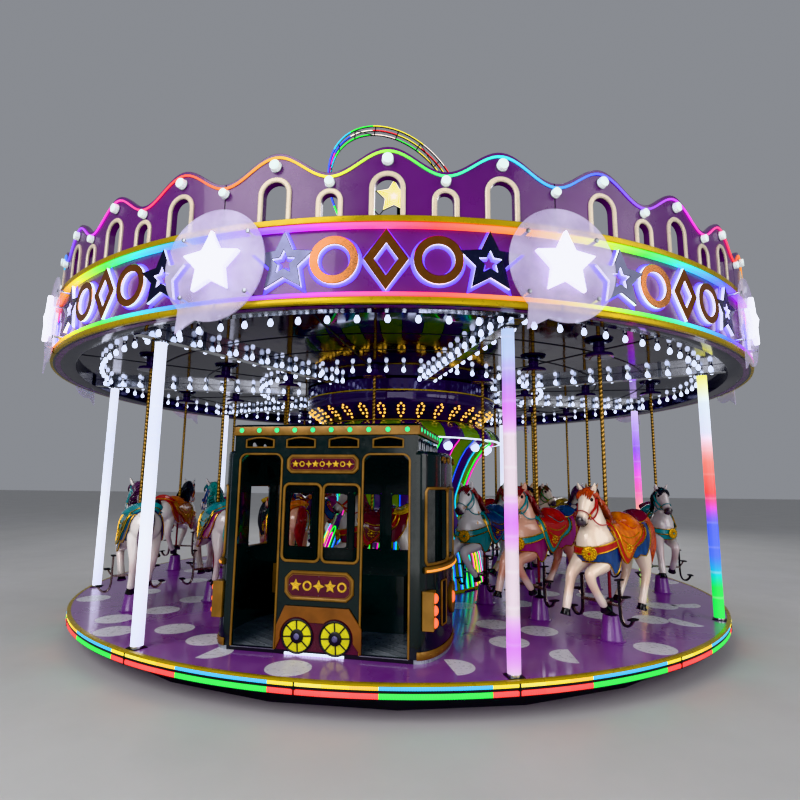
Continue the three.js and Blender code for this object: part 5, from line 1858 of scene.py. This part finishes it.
# Coat, hair, saddle, cloth, skirt and strap of the horses in view; the rest take a spare style
STYLES = {
    "horse_outer_4": "cream orange burgundy orange blue red",
    "horse_middle_4": "pink dark_red blue red magenta teal",
    "horse_inner_4": "spotted dark_red blue blue teal teal",
    "horse_outer_5": "grey black burgundy teal teal teal",
    "horse_middle_5": "tan brown burgundy blue burgundy red",
    "horse_inner_5": "tan black burgundy blue burgundy burgundy",
    "horse_outer_6": "white purple red yellow blue blue",
    "horse_middle_6": "cream brown green yellow teal green",
    "horse_inner_6": "white dark_red yellow red blue red",
    "horse_inner_3": "white dark_red yellow burgundy burgundy red",
    "horse_outer_1": "white black red orange red orange",
    "horse_middle_1": "grey teal teal magenta teal teal",
    "horse_inner_1": "tan black yellow green burgundy red",
    "horse_outer_2": "white purple teal teal blue teal",
    "horse_middle_2": "grey teal teal teal magenta blue",
    "horse_inner_2": "pink dark_red orange orange red red",
}
SPARE_STYLES = [
    "cream brown red yellow blue red", "grey black teal blue teal blue",
    "white orange burgundy orange burgundy red", "pink purple blue magenta blue magenta",
    "tan black green yellow green burgundy", "white teal teal yellow teal teal",
]


def horses():
    """One horse is made, and each place's copy gets its own colours and rides on its own body."""
    form = Form()
    form.mesh.from_mesh(horse_body())
    for face in form.mesh.faces:
        face.material_index = COAT
    for add in (horse_hair, hooves, saddlery, collar_and_girth, bridle, turn_head, pole_and_rest):
        add(form)
    pattern = form.mesh_data("horse_pattern", [BLACK] * (PAD + 1), 50)
    for index, (name, radius, angle) in enumerate(pole_spots()):
        style = STYLES.get(name, SPARE_STYLES[index % len(SPARE_STYLES)])
        hide, locks, *colours = style.split()
        paints = [COATS[hide], HAIRS[locks], HOOF_BLACK, *[TACKS[colour] for colour in colours]]
        paints += [GILDING, EYE_BLACK, POLE_BRASS, ROD_RED, RAIL_GREY, RUBBER]
        data = pattern.copy()
        data.name = name
        for i, paint in enumerate(paints):
            data.materials[i] = paint.material
        item = add_object(f"rider_{name}", data)
        item.matrix_world = standing(*ring_point(radius, angle, DECK), angle + 180)
        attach(item, name)
        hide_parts(name)
    bpy.data.meshes.remove(pattern)


# Materials of the solids that stay as they are


def dress_solids():
    kept = {
        "base_frame": BLACK, "deck_quarter": DECK_COAT, "ceiling_quarter": CEILING, "roof": ROOFING,
        "trolley_floor": TREAD, "trolley_outer_side": GREEN, "trolley_inner_side": GREEN,
        "trolley_bench": GREEN,
    }
    for name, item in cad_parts.items():
        for start, paint in kept.items():
            if name.startswith(start):
                item.data.materials.clear()
                item.data.materials.append(paint.material)


# Floor, lights and camera

CAMERA_PLACE = (0, -7.864, 1.636)
CAMERA_LENS = 24.1
PITCH = math.radians(8.65)
YAW = 0.002
ROLL = 0.012


def studio():
    floor = Form()
    floor.plate([(-60, -60), (60, -60), (60, 60), (-60, 60)], -0.02, 0.0)
    floor_paint = Paint("studio_floor", "#c9c8c6", 0.6).worn(0.04, 1.0)
    item = add_object("studio_floor", floor.mesh_data("studio_floor", [floor_paint]))
    bpy.context.scene.view_settings.view_transform = "Khronos PBR Neutral"
    world = bpy.data.worlds.new("studio_world")
    world.use_nodes = True
    sky = world.node_tree.nodes["Background"]
    sky.inputs["Color"].default_value = (0.8, 0.83, 0.9, 1)
    sky.inputs["Strength"].default_value = 0.36
    bpy.context.scene.world = world
    for name, spot, target, size, power in (
        ("key", (-7, -11, 8), (0, 0, 1.5), 8, 900), ("fill", (9, -9, 5), (0, 0, 1.5), 8, 450),
        ("rim", (3, 11, 9), (0, 0, 2.5), 8, 600), ("low", (0, -9, 1.2), (0, 0, 1.4), 5, 120),
    ):
        lamp = bpy.data.lights.new(name, "AREA")
        lamp.size = size
        lamp.energy = power
        holder = add_object(name, lamp)
        holder.location = spot
        holder.rotation_euler = (Vector(target) - Vector(spot)).to_track_quat("-Z", "Y").to_euler()


def camera():
    eye = bpy.data.cameras.new("camera")
    eye.lens = CAMERA_LENS
    eye.sensor_width = 36
    item = add_object("camera", eye)
    aim = Matrix.Rotation(YAW, 4, "Z") @ Matrix.Rotation(math.pi / 2 + PITCH, 4, "X")
    item.matrix_world = Matrix.Translation(CAMERA_PLACE) @ aim @ Matrix.Rotation(ROLL, 4, "Z")
    bpy.context.scene.camera = item


camera()
studio()
dress_solids()
deck_edge()
deck_dots()
cups_and_caps()
light_posts()
ceiling()
for panel in range(PANEL_COUNT):
    canopy_wall(panel)
window_frames()
knobs()
canopy_trims()
sign_discs()
band_ornaments()
top_ornament()
centre_column()
column_lights()
cabin_bows()
cabin_trims()
cabin_boards()
cabin_wheels()
cabin_lamps()
horses()
